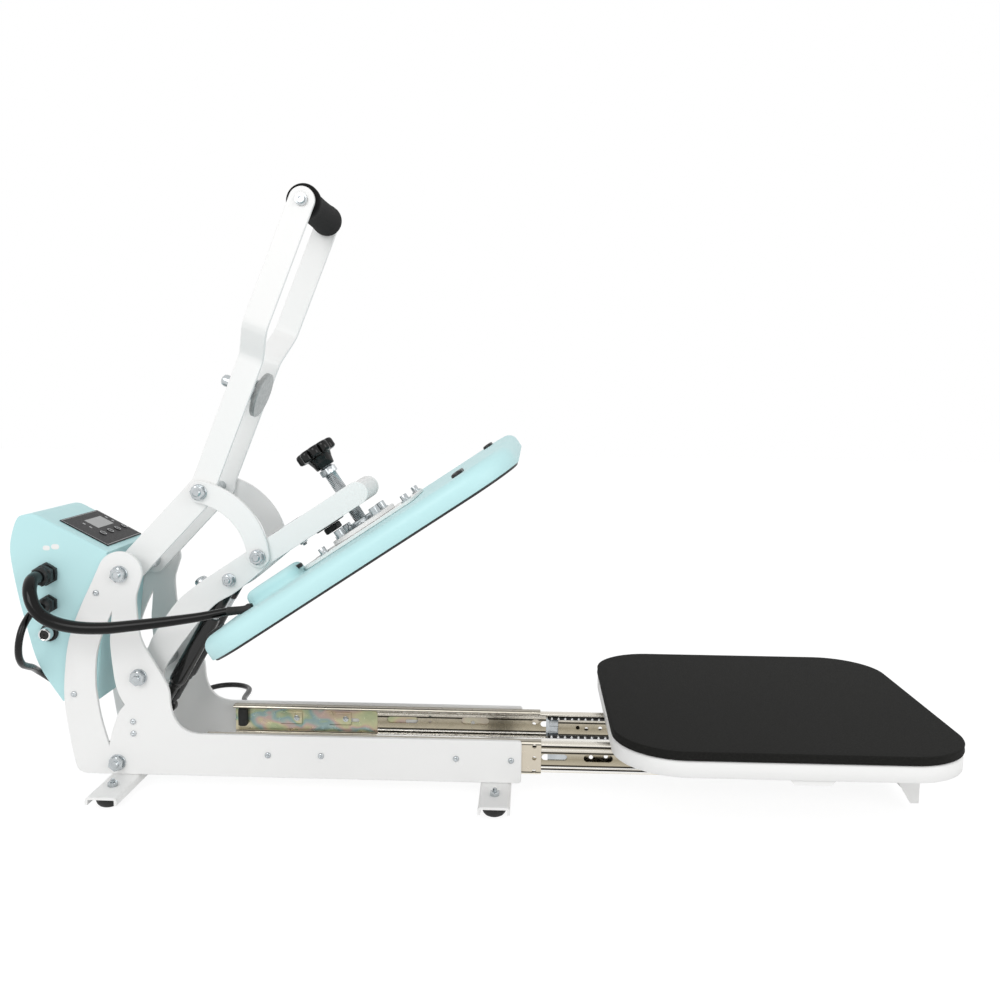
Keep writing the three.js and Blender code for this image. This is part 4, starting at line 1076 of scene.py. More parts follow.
link_u, link_w = 193.2, 41.2
spring_u, spring_w = 147, 37.3
link_face = 48
arm_bolts = {
    "link_pivot_bolt": (link_u, link_w, 5, link_face + 0.15, [(-arm_gap, arm_gap)], 14),
    "spring_top_bolt": (spring_u, spring_w, 4, arm_out + 0.15, [], 12),
}
for bolt, (u, w, radius, face, sleeves, strip_tone_with_painted_light) in arm_bolts.items():
    shells = [turned_rings([(radius, -face), (radius, face)])]
    for low, high in sleeves:
        shells.append(turned_rings([
            (radius * 1.6, low), (radius * 1.7, low + 0.6), (radius * 1.7, high - 0.6),
            (radius * 1.6, high),
        ]))
    for side in (-1, 1):
        shells += bolt_end(face, side, radius, washer=9 if strip_tone_with_painted_light == 14 else 8.1,
                           across_flats=strip_tone_with_painted_light, head=5.5, tip=2.4, spin=25)
    made = piece(f"{bolt}_set", lofted(across(shells, u, w)), on_arm, zinc, "arm", bolt)


# On the arm's heel stands a grey buffer with a mushroom head that stops the lever, on a strip
# between the side sheets, and behind the magnet its fixing nut and a small black rubber pad.
buffer_u, buffer_w = 102, 53.5
buffer = piece("lever_buffer", lofted(around(buffer_u, [turned_rings([
    (3, buffer_w - 6), (3, buffer_w), (7.6, buffer_w + 0.4), (8.2, buffer_w + 1.2),
    (8, buffer_w + 3.4), (6.4, buffer_w + 5.4), (3.4, buffer_w + 6.6), (1, buffer_w + 6.8),
], 32)])), on_arm, zinc, "arm")
buffer_strip = piece("buffer_strip", lofted([
    box_shell(buffer_u - 9, buffer_u + 9, -35.9, 35.9, buffer_w - 8, buffer_w - 5, 0.4),
]), on_arm, powder_white, "arm")
magnet_nut = piece("magnet_nut", lofted(around(magnet_u + 6, [
    hex_rings(9, 25, 30, 0.6), thread_rings(3, 22.5, 26, 1),
])), on_arm, zinc, "arm")
arm_pad = piece("arm_rubber_pad", lofted([
    box_shell(267, 283.5, -14, 14, 17.6, 25.4, 1.2),
    box_shell(264, 286, -35.8, 35.8, 25.6, 29, 1),
]), on_arm, black_rubber, "arm")


# The heated platen: a cast aluminium plate with a dark non-stick coat under a pressed steel
# cover, coated mint, whose rear part is raised over the terminals.

platen_u, platen_side, platen_corner = 318.4, 388, 59
plate_low, plate_top = -28.4, -18.4


def square_ring(side, corner, inset, w, u=platen_u, steps=16):
    """A rounded square's outline at one height, drawn in by an inset."""
    half, ring = side / 2 - corner, []
    for quarter in range(4):
        middle = radians(45 + 90 * quarter)
        cx = half if cos(middle) > 0 else -half
        cy = half if sin(middle) > 0 else -half
        for step in range(steps + 1):
            a = radians(90 * (quarter + step / steps))
            ring.append(Vector((u + cx + (corner - inset) * cos(a),
                                cy + (corner - inset) * sin(a), w)))
    return ring


def heat_coat(material, at):
    """Baked non-stick coating: near black with a dull sheen and faint rub marks."""
    return {
        "Base Color": tint(material, grain(material, at, 30), "#1c1c1d", "#262627"),
        "Roughness": spread(material, grain(material, at, 8), 0.38, 0.52),
        "Normal": relief(material, grain(material, at, 0.8), 0.02, 0.5),
    }


heat = piece("heated_plate", lofted([[
    square_ring(platen_side, platen_corner, inset, w) for inset, w in (
        (0.8, plate_low), (0, plate_low + 0.8), (0, plate_top - 0.6), (0.6, plate_top))
]]), on_arm, finish("dark non-stick coat", heat_coat), "platen", "heat_plate", sharp=30)

cover_side, cover_corner, cover_low, cover_top = 394, 62, -25.8, -2.5
shoulder, drop, wall = 13, 12, 2
shoulder_levels = [
    (shoulder * (1 - cos(pi / 2 * i / 8)), cover_top - drop + drop * sin(pi / 2 * i / 8))
    for i in range(9)
]
inner_levels = [
    (wall + (shoulder - 1) * (1 - cos(pi / 2 * i / 4)),
     cover_top - drop - 0.6 + (drop - 1.4) * sin(pi / 2 * i / 4)) for i in range(5)
]
cover_rings = [square_ring(cover_side, cover_corner, inset, w) for inset, w in reversed([
    (0.5, cover_low), (0, cover_low + 0.5), *shoulder_levels,
])]
cover_inside = [square_ring(cover_side, cover_corner, inset, w) for inset, w in [
    (wall - 0.5, cover_low), (wall, cover_low + 0.5), *inner_levels,
]]
hump_from, hump_long, hump_y, hump_half, hump_high = 165, 67, -60, 28, 13


def hump_ring(inset, w, corner=13, steps=6):
    ring = []
    long, wide = hump_long / 2 - inset, hump_half - inset
    radius = max(2, corner - inset / 2)
    for quarter, (sx, sy) in enumerate(((1, 1), (-1, 1), (-1, -1), (1, -1))):
        for step in range(steps + 1):
            a = radians(90 * (quarter + step / steps))
            ring.append(Vector((
                hump_from + hump_long / 2 + sx * (long - radius) + radius * cos(a),
                hump_y + sy * (wide - radius) + radius * sin(a), w)))
    return ring


hump_round = 8
hump_rings = [hump_ring(inset, w) for inset, w in [
    (-4, cover_top - 1.2), (-2.2, cover_top - 0.2), (-1, cover_top + 1), (-0.2, cover_top + 3), *[
        (hump_round * (1 - cos(pi / 2 * i / 6)),
         hump_high - hump_round + hump_round * sin(pi / 2 * i / 6)) for i in range(7)]
]]
cover = piece("platen_cover_pressing", lofted([cover_rings + cover_inside, hump_rings]), on_arm,
              powder_mint, "platen", "platen_cover", sharp=50)


# On the cover a white saddle plate, screwed down near its corners, and on that the thrust collar
# that the pressure screw turns in: a round white flange with four bolts and a zinc-plated seat.

saddle_from, saddle_long, saddle_half, saddle_low, saddle_thick = 233, 152, 58, -2.2, 4
saddle_top = saddle_low + saddle_thick
saddle_outline = [
    *arc(saddle_from + saddle_long - 8, -saddle_half + 8, 8, -90, 0, 8),
    *arc(saddle_from + saddle_long - 8, saddle_half - 8, 8, 0, 90, 8),
    *arc(saddle_from + 8, saddle_half - 8, 8, 90, 180, 8),
    *arc(saddle_from + 8, -saddle_half + 8, 8, 180, 270, 8),
]
saddle = piece("saddle_plate", cut_sheet([saddle_outline], saddle_low, saddle_top, 0.5), on_arm,
               powder_white, "platen", "platen_saddle")

cap_screw = turned_rings([
    (6.4, 0), (6.4, 1.4), (4.4, 1.6), (4.4, 7.2), (4, 7.8), (2.4, 7.8), (2.2, 5), (0.4, 5),
], 32)
row_of("saddle_corner_screws", lofted([cap_screw]),
       [(u, y, saddle_top + 0.1) for u in (262.5, 377) for y in (-50, 50)],
       zinc, "platen", on_arm)

collar_low = saddle_top + 0.3
collar_high = collar_low + 5
flange = piece("collar_flange", lofted(around(screw_u, [
    turned_rings([(18, collar_low), (42.4, collar_low), (43, collar_low + 0.6),
                  (43, collar_high - 0.8), (42.2, collar_high), (18, collar_high)], 96),
])), on_arm, powder_white, "platen", "thrust_collar")
seat = piece("collar_seat", lofted(around(screw_u, [
    hex_rings(38, collar_high, collar_high + 3.4, 1, 72),
    turned_rings([(17, collar_high + 3), (17, collar_high + 5.2), (16, collar_high + 6),
                  (8.4, collar_high + 6)], 48),
])), on_arm, zinc, "platen")
collar_bolt = turned_rings([
    (7.4, 0), (7.4, 1.2), (6, 1.4), (6, 9), (5.5, 9.6), (3.4, 9.6), (3.2, 6), (0.5, 6),
], 32)
row_of("collar_bolts", lofted([collar_bolt]),
       [(screw_u + along, over, collar_high + 0.1) for along in (-25, 25) for over in (-25, 25)],
       zinc, "platen", on_arm)


# The pressure screw: a zinc-plated thread with a lock nut under a lobed knob of black phenolic,
# pressed to a gloss.

screw_low, screw_high = 4.8, 97
screw = piece("threaded_spindle", lofted(around(screw_u, [
    thread_rings(7.8, screw_low, screw_high, 2, 40),
    hex_rings(19, 77.5, 85.5, 1.0),
])), on_arm, zinc, "pressure_screw", "pressure_screw")


def phenolic(material, at):
    """Pressed phenolic: deep black, polished by the mould."""
    return {
        "Base Color": tint(material, grain(material, at, 12), "#040404", "#080808"),
        "Roughness": spread(material, grain(material, at, 6), 0.1, 0.18),
        "IOR": 1.5, "Specular IOR Level": 0.35,
        "Normal": relief(material, grain(material, at, 4), 0.03, 0.4),
    }


knob_lobes = 9


def knob_ring(radius, depth, w, count=144):
    """An outline with rounded lobes and scalloped valleys between them."""
    ring = []
    for k in range(count):
        a = 2 * pi * k / count
        wave = abs(cos(a * knob_lobes / 2)) ** 0.7
        r = radius - depth * (1 - wave)
        ring.append(Vector((screw_u + r * cos(a), r * sin(a), w)))
    return ring


knob_levels = [
    (11.4, 0, 87.5), (12, 0, 88.2), (13.4, 0.2, 95), (15.7, 0.5, 101.6), (17.6, 1.4, 102.2),
    (23.4, 4.4, 102.8), (24.9, 5.2, 104.4), (25, 5.2, 112), (24, 4.8, 114.6), (21.6, 3.6, 115.7),
    (14, 0.4, 116), (11.4, 0, 115.2), (3, 0, 115),
]
knob = piece("lobed_knob", lofted([[knob_ring(*level) for level in knob_levels]]), on_arm,
             finish("pressed black phenolic", phenolic), "pressure_screw", "pressure_knob",
             sharp=50)


# A short moulded rubber boot where the heating lead enters the cover, with a collar at its foot.

boot_u, boot_y, boot_dip = 169, -102, radians(27)
boot_profile = [
    (3, -4), (6.6, -4), (6.6, 0.4), (5.9, 2), (5, 3.2), (4.6, 6), (4.6, 12), (4.8, 18),
    (5, 23), (4.8, 24), (4.3, 24.2), (3.8, 18),
]
boot_turn = (Matrix.Translation((boot_u, boot_y, cover_top))
             @ Matrix.Rotation(boot_dip - pi / 2, 4, "Y"))
boot = piece(
    "lead_boot", lofted(moved([turned_rings(boot_profile)], boot_turn)), on_arm, black_rubber,
    "arm", "lead_strain_relief",
)

# Two black vents are pressed into the cover's front corners.
vent_rings = []
for inset, w in ((0, -0.5), (0, 2), (0.5, 3), (1.4, 3.4), (3.6, 3.4), (4.4, 2.2)):
    half, radius = 11, 6.5 - inset
    vent_rings.append([
        Vector((radius * cos(a), (half if sin(a) > 0 else -half) + radius * sin(a), w))
        for a in (2 * pi * (k + 0.5) / 32 for k in range(32))
    ])
row_of("cover_vents", lofted([vent_rings]), [(455, -150, cover_top), (477, 150, cover_top)],
       black_moulding, "platen", on_arm)

# A black sprung clip hooks over the cover's rear edge, and a small black block sits between the
# raised part and the saddle plate.
edge_clip = piece("cover_edge_clip", lofted([
    drawn_out(folded([(119.2, -14), (119.2, -7.5), (123.5, -0.8), (139, -0.8)], 2, 2), -126, -108),
]), on_arm, black_moulding, "platen")
side_block = piece("cover_black_block", lofted([
    box_shell(saddle_from - 6, saddle_from + 4, -68, -60, hump_high - 9, hump_high - 4, 1),
]), on_arm, black_moulding, "platen")


# The lever: two bars of 5 mm sheet, cranked at the hub and set outwards by a joggle so that they
# clear the arm, coated white, with a turned spacer between them.

lever_deg = 68.4
on_lever = place(lever_deg, lever_x, lever_z)
crank_long, rise_deg, hub_radius = 129.9, -21.6, 17
crank_rise = radians(rise_deg)
hub_x, hub_z = crank_long * cos(crank_rise), crank_long * sin(crank_rise)
bar_reach, bar_wide = 352, 29
joggle_from, joggle_long, joggle_out = 168, 36, 33
grip_x = hub_x + bar_reach
top_z, low_z = hub_z + bar_wide / 2, hub_z - bar_wide / 2
crank_top = (-hub_radius * sin(crank_rise), hub_radius * cos(crank_rise))
corner_x = crank_top[0] + (top_z - crank_top[1]) / tan(crank_rise)
corner = [
    (corner_x + 5, top_z), (corner_x + 1.6, top_z + 0.25),
    (corner_x - 1.6, top_z + 0.9), (corner_x - 5, top_z - 5 * tan(crank_rise)),
]
bar_outline = [
    *arc(0, 0, hub_radius, rise_deg + 90, rise_deg + 270, 30),
    *arc(hub_x, hub_z, hub_radius, rise_deg - 90, -58.5, 12),
    (hub_x + joggle_from, low_z),
    *arc(grip_x, hub_z, bar_wide / 2, -90, 90, 30),
    *corner,
]


def joggled(mesh, side):
    """Sets a bar's far part outwards over the joggle, with a short bend at either end of it."""
    shape = bmesh.new()
    shape.from_mesh(mesh)
    first, reach, steps = hub_x + joggle_from, 7, 60
    for i in range(-4, 5):
        for at in (first, first + joggle_long):
            bmesh.ops.bisect_plane(
                shape, geom=shape.verts[:] + shape.edges[:] + shape.faces[:],
                plane_co=(at + i * reach / 4, 0, 0), plane_no=(1, 0, 0), dist=1e-4)
    stride = (joggle_long + 2 * reach) / steps

    def slope_at(along):
        into = min(1, max(0, (along + reach) / (2 * reach)))
        out_of = min(1, max(0, (along - joggle_long + reach) / (2 * reach)))
        return atan2(joggle_out, joggle_long) * (into - out_of)

    places = [-reach + (k + 0.5) * stride for k in range(steps)]
    for vert in shape.verts:
        along = vert.co.x - first
        offset = sum(tan(slope_at(at)) * stride for at in places if at < along)
        vert.co.y = (vert.co.y / cos(slope_at(along))
                     + side * (arm_in + sheet_mm / 2 + offset))
    shape.to_mesh(mesh)
    shape.free()
    return mesh


for side, name in sides:
    bar = piece(
        f"{name}_lever_arm",
        joggled(upright(cut_sheet([bar_outline], -sheet_mm / 2, sheet_mm / 2)), side),
        on_lever, powder_white, "lever", f"{name}_lever_bar",
    )

spacer = piece("lever_spacer_set", lofted(across([
    turned_rings([(5.4, -arm_gap), (6, -35), (6, 35), (5.4, arm_gap)]),
], hub_x, hub_z)), on_lever, zinc, "lever", "lever_spacer")


# The grip: a tube between the bars' ends, screwed at both, in a sleeve of black foam rubber.

def foam_skin(material, at):
    """Closed-cell foam: dull black, finely pitted."""
    cells = node(material, "TexVoronoi", {"Vector": at, "Scale": 1000 / 1.1}).outputs["Distance"]
    return {
        "Base Color": tint(material, grain(material, at, 2.2), "#070707", "#0f0f0f"),
        "Roughness": 0.92, "IOR": 1.4,
        "Normal": relief(material, cells, 0.35, 0.8),
    }


foam = finish("closed cell foam rubber", foam_skin)
grip_rod_half, foam_half = 68.7, 66.2
bar_face = arm_in + joggle_out + sheet_mm + 0.15
rod = piece("grip_tube", lofted(across([
    turned_rings([(8.4, -grip_rod_half), (9, -grip_rod_half + 0.6), (9, grip_rod_half - 0.6),
                  (8.4, grip_rod_half)]),
    *[turned_rings([(6.8, side * bar_face), (6.8, side * (bar_face + 1)),
                    (4.9, side * (bar_face + 1.2)), (4.9, side * (bar_face + 3.6)),
                    (4.2, side * (bar_face + 4.4)), (2.6, side * (bar_face + 4.4)),
                    (2.4, side * (bar_face + 2.6)), (0.4, side * (bar_face + 2.6))])
      for side in (-1, 1)],
], grip_x, hub_z)), on_lever, zinc, "lever", "grip_rod")
sleeve = piece("grip_sleeve", lofted(across([turned_rings([
    (9.1, -foam_half + 0.6), (9.6, -foam_half), (17, -foam_half), (18.4, -foam_half + 0.6),
    (19.2, -foam_half + 2.4), (19, 10 - foam_half), (17.8, 19 - foam_half), (16.8, 30 - foam_half),
    (16.6, 0), (17.2, foam_half - 30), (18.2, foam_half - 14), (18.4, foam_half - 4),
    (17.6, foam_half - 1), (16, foam_half), (9.6, foam_half), (9.1, foam_half - 0.6),
], 64)], grip_x, hub_z)), on_lever, foam, "lever", "foam_grip")


# The catch: a turned steel disc on a strap across the bars, which the magnet holds when shut.

disc_x = magnet_u - lever_x
disc_low = arm_pivot_z + magnet_face + 0.3 - lever_z
strap_low = hub_z - 2


def phosphate(material, at):
    """Ground and phosphated steel: pale grey, mottled."""
    return {"Base Color": tint(material, grain(material, at, 2), "#8f9293", "#c3c5c4"),
            "Metallic": 0.8, "Roughness": spread(material, grain(material, at, 1.5), 0.36, 0.5)}


catch = piece("catch_disc", lofted(around(disc_x, [
    turned_rings([(26.7, disc_low), (27.5, disc_low + 0.8), (27.5, disc_low + 5.2),
                  (26.7, disc_low + 6), (4, disc_low + 6)], 64),
])), on_lever, finish("phosphated steel", phosphate), "lever", "armature")
catch_bolt = piece("catch_bolt", lofted(around(disc_x, [
    turned_rings([(4, disc_low + 5), (4, hub_z + 26)], 32),
    hex_rings(13, disc_low + 6, disc_low + 11, 0.7),
    hex_rings(13, hub_z + 2.2, hub_z + 8.7, 0.7),
    hex_rings(13, hub_z - 8.7, hub_z - 2.2, 0.7),
    turned_rings([(5, hub_z + 22), (7.2, hub_z + 22.6), (7.4, hub_z + 29), (6.4, hub_z + 32.4),
                  (4, hub_z + 34), (1, hub_z + 34.4)], 40),
]) + [box_shell(disc_x - 13, disc_x + 13, -arm_gap, arm_gap, strap_low, strap_low + 4, 0.4)]),
    on_lever, zinc, "lever")


# The two links: 5 mm sheet cut to an arc, coated white, bolted to the lever's hub and the arm.

def spun(x, z, degrees):
    turn = radians(degrees)
    return x * cos(turn) - z * sin(turn), x * sin(turn) + z * cos(turn)


pin_x, pin_z = spun(link_u, link_w, arm_deg)
pin_z += arm_pivot_z
hub_at_x, hub_at_z = spun(hub_x, hub_z, lever_deg)
hub_at_x, hub_at_z = hub_at_x + lever_x, hub_at_z + lever_z
link_half, link_bow, link_gap = 13, 17.4, 1
chord = hypot(hub_at_x - pin_x, hub_at_z - pin_z)
curve_radius = chord**2 / (8 * link_bow) + link_bow / 2
back = curve_radius - link_bow
arc_x = (pin_x + hub_at_x) / 2 - back * (hub_at_z - pin_z) / chord
arc_z = (pin_z + hub_at_z) / 2 - back * (pin_x - hub_at_x) / chord
arc_from = atan2(pin_z - arc_z, pin_x - arc_x) * 180 / pi
arc_to = atan2(hub_at_z - arc_z, hub_at_x - arc_x) * 180 / pi
link_outline = [
    *arc(arc_x, arc_z, curve_radius + link_half, arc_from, arc_to, 30),
    *arc(hub_at_x, hub_at_z, link_half, arc_to, arc_to + 180, 20),
    *arc(arc_x, arc_z, curve_radius - link_half, arc_to, arc_from, 30),
    *arc(pin_x, pin_z, link_half, arc_from + 180, arc_from + 360, 20),
]
link_in = arm_out + link_gap
for side, name in sides:
    link = piece(f"{name}_link_plate", side_sheet([link_outline], side, link_in), place(),
                 powder_white, "links", f"{name}_arc_link")
    hub_bolt = piece(f"{name}_hub_bolt", lofted(across([
        *bolt_end(link_in + sheet_mm + 0.1, side, 5, 9.6, 15, 6, 2.6, 40),
        turned_rings([(5, side * link_in), (5, side * (link_in + sheet_mm + 1))]),
    ], hub_at_x, hub_at_z)), place(), zinc, "links")


# Two gas springs lift the arm: cylinders painted gloss black under a bare steel neck, with a black
# cap at the top eye and a black sleeve over the rod.

foot_x, foot_z = 3.4, 75
eye_x, eye_z = spun(spring_u, spring_w, arm_deg)
eye_z += arm_pivot_z
spring_long = hypot(eye_x - foot_x, eye_z - foot_z)
on_spring = place(-atan2(eye_x - foot_x, eye_z - foot_z) * 180 / pi, eye_x, eye_z)


def gloss_paint(material, at):
    """Baked black enamel on tube: glossy with slight waviness."""
    return {
        "Base Color": colour("#0b0b0b"),
        "Roughness": spread(material, grain(material, at, 10), 0.12, 0.22), "IOR": 1.5,
        "Normal": relief(material, grain(material, at, 6), 0.04, 0.4),
    }


black_enamel = finish("baked black enamel", gloss_paint)


def eye_shells(y, z, radius, hole, thick):
    turn = Matrix.Translation((0, 0, z)) @ Matrix.Rotation(-pi / 2, 4, "X")
    profile = [(hole, y - thick / 2), (radius - 0.8, y - thick / 2), (radius, y - thick / 2 + 0.8),
               (radius, y + thick / 2 - 0.8), (radius - 0.8, y + thick / 2), (hole, y + thick / 2)]
    return moved([turned_rings(profile)], turn)


for side, name, cap_end in ((-1, "near", 55), (1, "far", 38)):
    y, body_from = side * 20, 57
    shift = Matrix.Translation((0, y, 0))

    def turned_here(*profiles):
        return moved([turned_rings(profile) for profile in profiles], shift)

    cylinder = piece(f"{name}_spring_tube", lofted([
        *eye_shells(y, 0, 9, 4.2, 10),
        *turned_here(
            [(6.6, 1 - cap_end), (7.8, 0.6 - cap_end), (8.2, 2 - cap_end), (8.2, -9), (7.4, -7),
             (6.6, -6.4), (6.6, 1 - cap_end)],
            [(6.6, -157), (7.2, -156.6), (7.6, -155.6), (7.6, -152), (6.6, -152), (6.6, -157)],
            [(6.6, -152), (8.4, -151.4), (9.5, -149.2), (10, -146), (10, -body_from - 3),
             (9.2, -body_from), (6.6, -body_from), (6.6, -152)],
        ),
    ]), on_spring, black_enamel, "spring_cylinders", f"{name}_spring_cylinder")
    neck = piece(f"{name}_spring_neck", lofted(turned_here(
        [(6.6, -body_from - 1), (7.6, -body_from - 0.5), (7.6, 0.6 - cap_end),
         (6.6, 1 - cap_end), (6.6, -body_from - 1)],
    )), on_spring, zinc, "spring_cylinders")
    rod_sleeve = piece(f"{name}_spring_shaft", lofted([
        *turned_here(
            [(4.6, 5 - spring_long), (5, 12.5 - spring_long), (6, 13 - spring_long),
             (6.2, 14 - spring_long), (6.2, 129 - spring_long), (5.6, 130 - spring_long)],
        ),
        *eye_shells(y, -spring_long, 8.6, 5.8, 10),
    ]), on_spring, black_enamel, "spring_rods", f"{name}_spring_rod")


# The ball-bearing slides: three nested channels a side, rolled from sheet steel. The fixed one is
# passivated yellow, the moving ones plain zinc, with stamped slots, stops and ball cages.

def banded(material, value, low, high, bands):
    """Colours laid along a value, each given with its place in thousandths of its unit."""
    share = node(material, "MapRange", {
        "Value": value, "From Min": low, "From Max": high}).outputs["Result"]
    ramp = node(material, "ValToRGB", {"Fac": share})
    stops = ramp.color_ramp.elements
    stops.remove(stops[1])
    for i, (at, code) in enumerate(bands):
        position = (at / 1000 - low) / (high - low)
        stop = stops.new(position) if i else stops[0]
        stop.position, stop.color = position, colour(code)
    return ramp.outputs["Color"]


def yellow_passivate(material, at):
    """Yellow chromate over zinc: cream with drifts of pink, blue and green, as oil on water."""
    place_on = node(material, "SeparateXYZ", {"Vector": at}).outputs
    stretched = node(material, "Mapping", {"Vector": at, "Scale": (1, 0.3, 1.5)}).outputs[0]
    drift = node(material, "TexNoise", {
        "Vector": stretched, "Scale": 24, "Detail": 1.6, "Distortion": 0.5}).outputs["Fac"]
    oily = banded(material, drift, 0.3, 0.72, [
        (300, "#b7c19b"), (390, "#cbc8a2"), (440, "#cdb9a2"), (480, "#c4aeaa"), (520, "#a9b8b0"),
        (560, "#93adaf"), (600, "#a9b99a"), (650, "#cfc9a6"), (720, "#d9d0b2")])
    plain = node(material, "MapRange", {
        "Value": place_on["X"], "From Min": -0.1, "From Max": 0.02}).outputs["Result"]
    web = node(material, "Mix", {"Factor": plain, 6: oily, 7: colour("#d3cab9")},
               data_type="RGBA")
    # On the rolled lips the dark lines are painted shade and the near-white bands painted
    # highlights; the beige between is the plating's own tone.
    lip_tone_with_painted_light = banded(material, place_on["Z"], 0.026, 0.068, [
        (26, "#a39d8e"), (27.4, "#f4efe2"), (29.2, "#efe8d8"), (29.8, "#4e4a41"),
        (30.6, "#5d594e"), (31.2, "#d9d0be"), (62.6, "#d9d0be"), (63.2, "#57534a"),
        (63.9, "#57534a"), (64.5, "#f3eddf"), (66, "#e9e2d2"), (66.5, "#6c675b"), (68, "#e4dccb")])
    inside = node(material, "MapRange", {
        "Value": place_on["Z"], "From Min": 0.0312, "From Max": 0.0318}).outputs["Result"]
    below = node(material, "MapRange", {
        "Value": place_on["Z"], "From Min": 0.0622, "From Max": 0.0628, "To Min": 1, "To Max": 0,
    }).outputs["Result"]
    on_web = node(material, "Math", {0: inside, 1: below}, operation="MULTIPLY").outputs[0]
    mixed = node(material, "Mix", {"Factor": on_web, 6: lip_tone_with_painted_light, 7: web.outputs[2]},
                 data_type="RGBA")
    return {"Base Color": mixed.outputs[2], "Metallic": 0.8,
            "Roughness": spread(material, grain(material, at, 3), 0.26, 0.4)}


def rolled_zinc(material, at):
    """Zinc on cold-rolled strip, banded by height: painted highlights on the flats, painted shade
    in the grooves.
    """
    height = node(material, "SeparateXYZ", {"Vector": at}).outputs["Z"]
    # The near-black bands are painted shade along the rolled grooves and the white ones painted
    # highlights; the beige between is the strip's own tone.
    strip_tone_with_painted_light = banded(material, height, 0.026, 0.068, [
        (26, "#8d877a"), (30, "#f6f2e8"), (32.4, "#ffffff"), (32.8, "#26241f"), (34.6, "#2e2b26"),
        (35, "#f1ece1"), (36.6, "#ffffff"), (37.2, "#3a372f"), (38.6, "#38352e"), (39.2, "#bfb6a2"),
        (46, "#a39a85"), (52.2, "#c2baa8"), (52.7, "#38352e"), (54.2, "#3f3c34"), (54.8, "#d6d0c3"),
        (57.6, "#f4f0e8"), (59.4, "#a8a090"), (60, "#26241f"), (61.8, "#2e2b26"),
        (62.3, "#fbf7ee"), (68, "#b5ad9e")])
    lines = node(material, "Mapping", {"Vector": at, "Scale": (0.04, 1, 1)}).outputs[0]
    streak = grain(material, lines, 1.2)
    worn = node(material, "Mix", {"Factor": 0.35, 6: strip_tone_with_painted_light,
                                  7: tint(material, streak, "#c4c0b8", "#ffffff")},
                data_type="RGBA", blend_type="MULTIPLY")
    return {
        "Base Color": worn.outputs[2], "Metallic": 1.0,
        "Roughness": spread(material, grain(material, at, 4), 0.2, 0.32),
        "Normal": relief(material, streak, 0.02, 0.4),
    }


yellow_zinc = finish("yellow passivated zinc", yellow_passivate)
strip_zinc = finish("rolled zinc strip", rolled_zinc)
slide_rear, slide_long, slide_low, slide_high = 75.4, 397, 27, 40
slide_mid = slide_low + slide_high / 2
slide_wall, slide_play, slide_deep = 1.4, 0.4, 12.4
slide_members = {
    "fixed": (0, False, 0, yellow_zinc, "frame", "yellow_zinc_steel",
              [(152, 20, 5, 0), (232, 20, 5, 0), (310, 5, 5, 0), (389, 5, 5, 14.4), (389, 5, 5, 0),
               (389, 5, 5, -15.6)]),
    "middle": (1, False, 186, strip_zinc, "slide_middles", "zinc_steel",
               [(32.6, 40, 8, 2.5), (68.6, 3.6, 3.6, 8.7), (68.6, 3.6, 3.6, 0.7), (127, 36, 8.5, 3),
                (205, 10, 7, 3.5), (226.5, 30, 7.5, 1), (278, 34, 8.5, 0.5), (340, 20, 6, 0)]),
    "inner": (2, True, 420, strip_zinc, "tray", "zinc_steel",
              [(25, 5, 5, 0.5), (36, 5, 5, -1.2), (53.6, 5, 5, 0), (110, 24, 6, 0),
               (210, 12, 6, 0), (290, 24, 6, 0), (360, 12, 6, 0)]),
}


def along_x(section, x0, x1):
    return [[Vector((x, a, b)) for a, b in section] for x in (x0, x1)]


for member, (nest, outward, out, metal, body, slot, holes) in slide_members.items():
    inset = nest * (slide_wall + slide_play)
    half_high = slide_high / 2 - inset
    back = inner_face - inset
    front = inner_face - slide_deep + (0 if outward else slide_play)
    web_at, lip_at = (front, back) if outward else (back, front)
    inwards = 1 if outward else -1
    start = slide_rear + out
    low, high = slide_mid - half_high, slide_mid + half_high
    web_outline = [(start, low + 2.4), (start + slide_long, low + 2.4),
                   (start + slide_long, high - 2.4), (start, high - 2.4)]
    slots = [
        [*arc(start + at + long / 2 - wide / 2, slide_mid + rise, wide / 2, -90, 90, 8),
         *arc(start + at - long / 2 + wide / 2, slide_mid + rise, wide / 2, 90, 270, 8)]
        for at, long, wide, rise in holes
    ]
    faces = sorted((web_at, web_at + inwards * slide_wall))
    middle_line = web_at + inwards * slide_wall / 2
    lip = lip_at - inwards * slide_wall / 2
    for side, name in sides:
        web = upright(cut_sheet(
            [web_outline, *slots], *sorted((-side * faces[0], -side * faces[1])), 0.15))
        shells = []
        for edge, turn in ((low, 1), (high, -1)):
            section = folded([
                (side * middle_line, edge + turn * 2.5), (side * middle_line, edge + turn * 0.7),
                (side * lip, edge + turn * 0.7), (side * lip, edge + turn * 3.6),
            ], slide_wall, 1.9, 5)
            shells.append(along_x(section, start, start + slide_long))
            if member == "middle":
                for rise in (6.2, 8.4):
                    bead = arc(side * middle_line, edge + turn * rise, 1.1, 0, 330, 11)
                    shells.append(along_x(bead, start + 0.2, start + slide_long - 0.2))
        rails = lofted(shells)
        whole = bmesh.new()
        whole.from_mesh(web)
        whole.from_mesh(rails)
        whole.to_mesh(web)
        whole.free()
        run = piece(f"{name}_slide_{member}_run", web, place(), metal, body,
                    f"{name}_slide_{member}")


# Stamped tabs screwed to each fixed member, a rubber stop at its rear end, a zinc clip at the
# middle member's mouth and two black ball cages with bright balls.


def cage_plastic(material, at):
    return {"Base Color": tint(material, grain(material, at, 4), "#101010", "#1b1b1b"),
            "Roughness": 0.5, "IOR": 1.5}


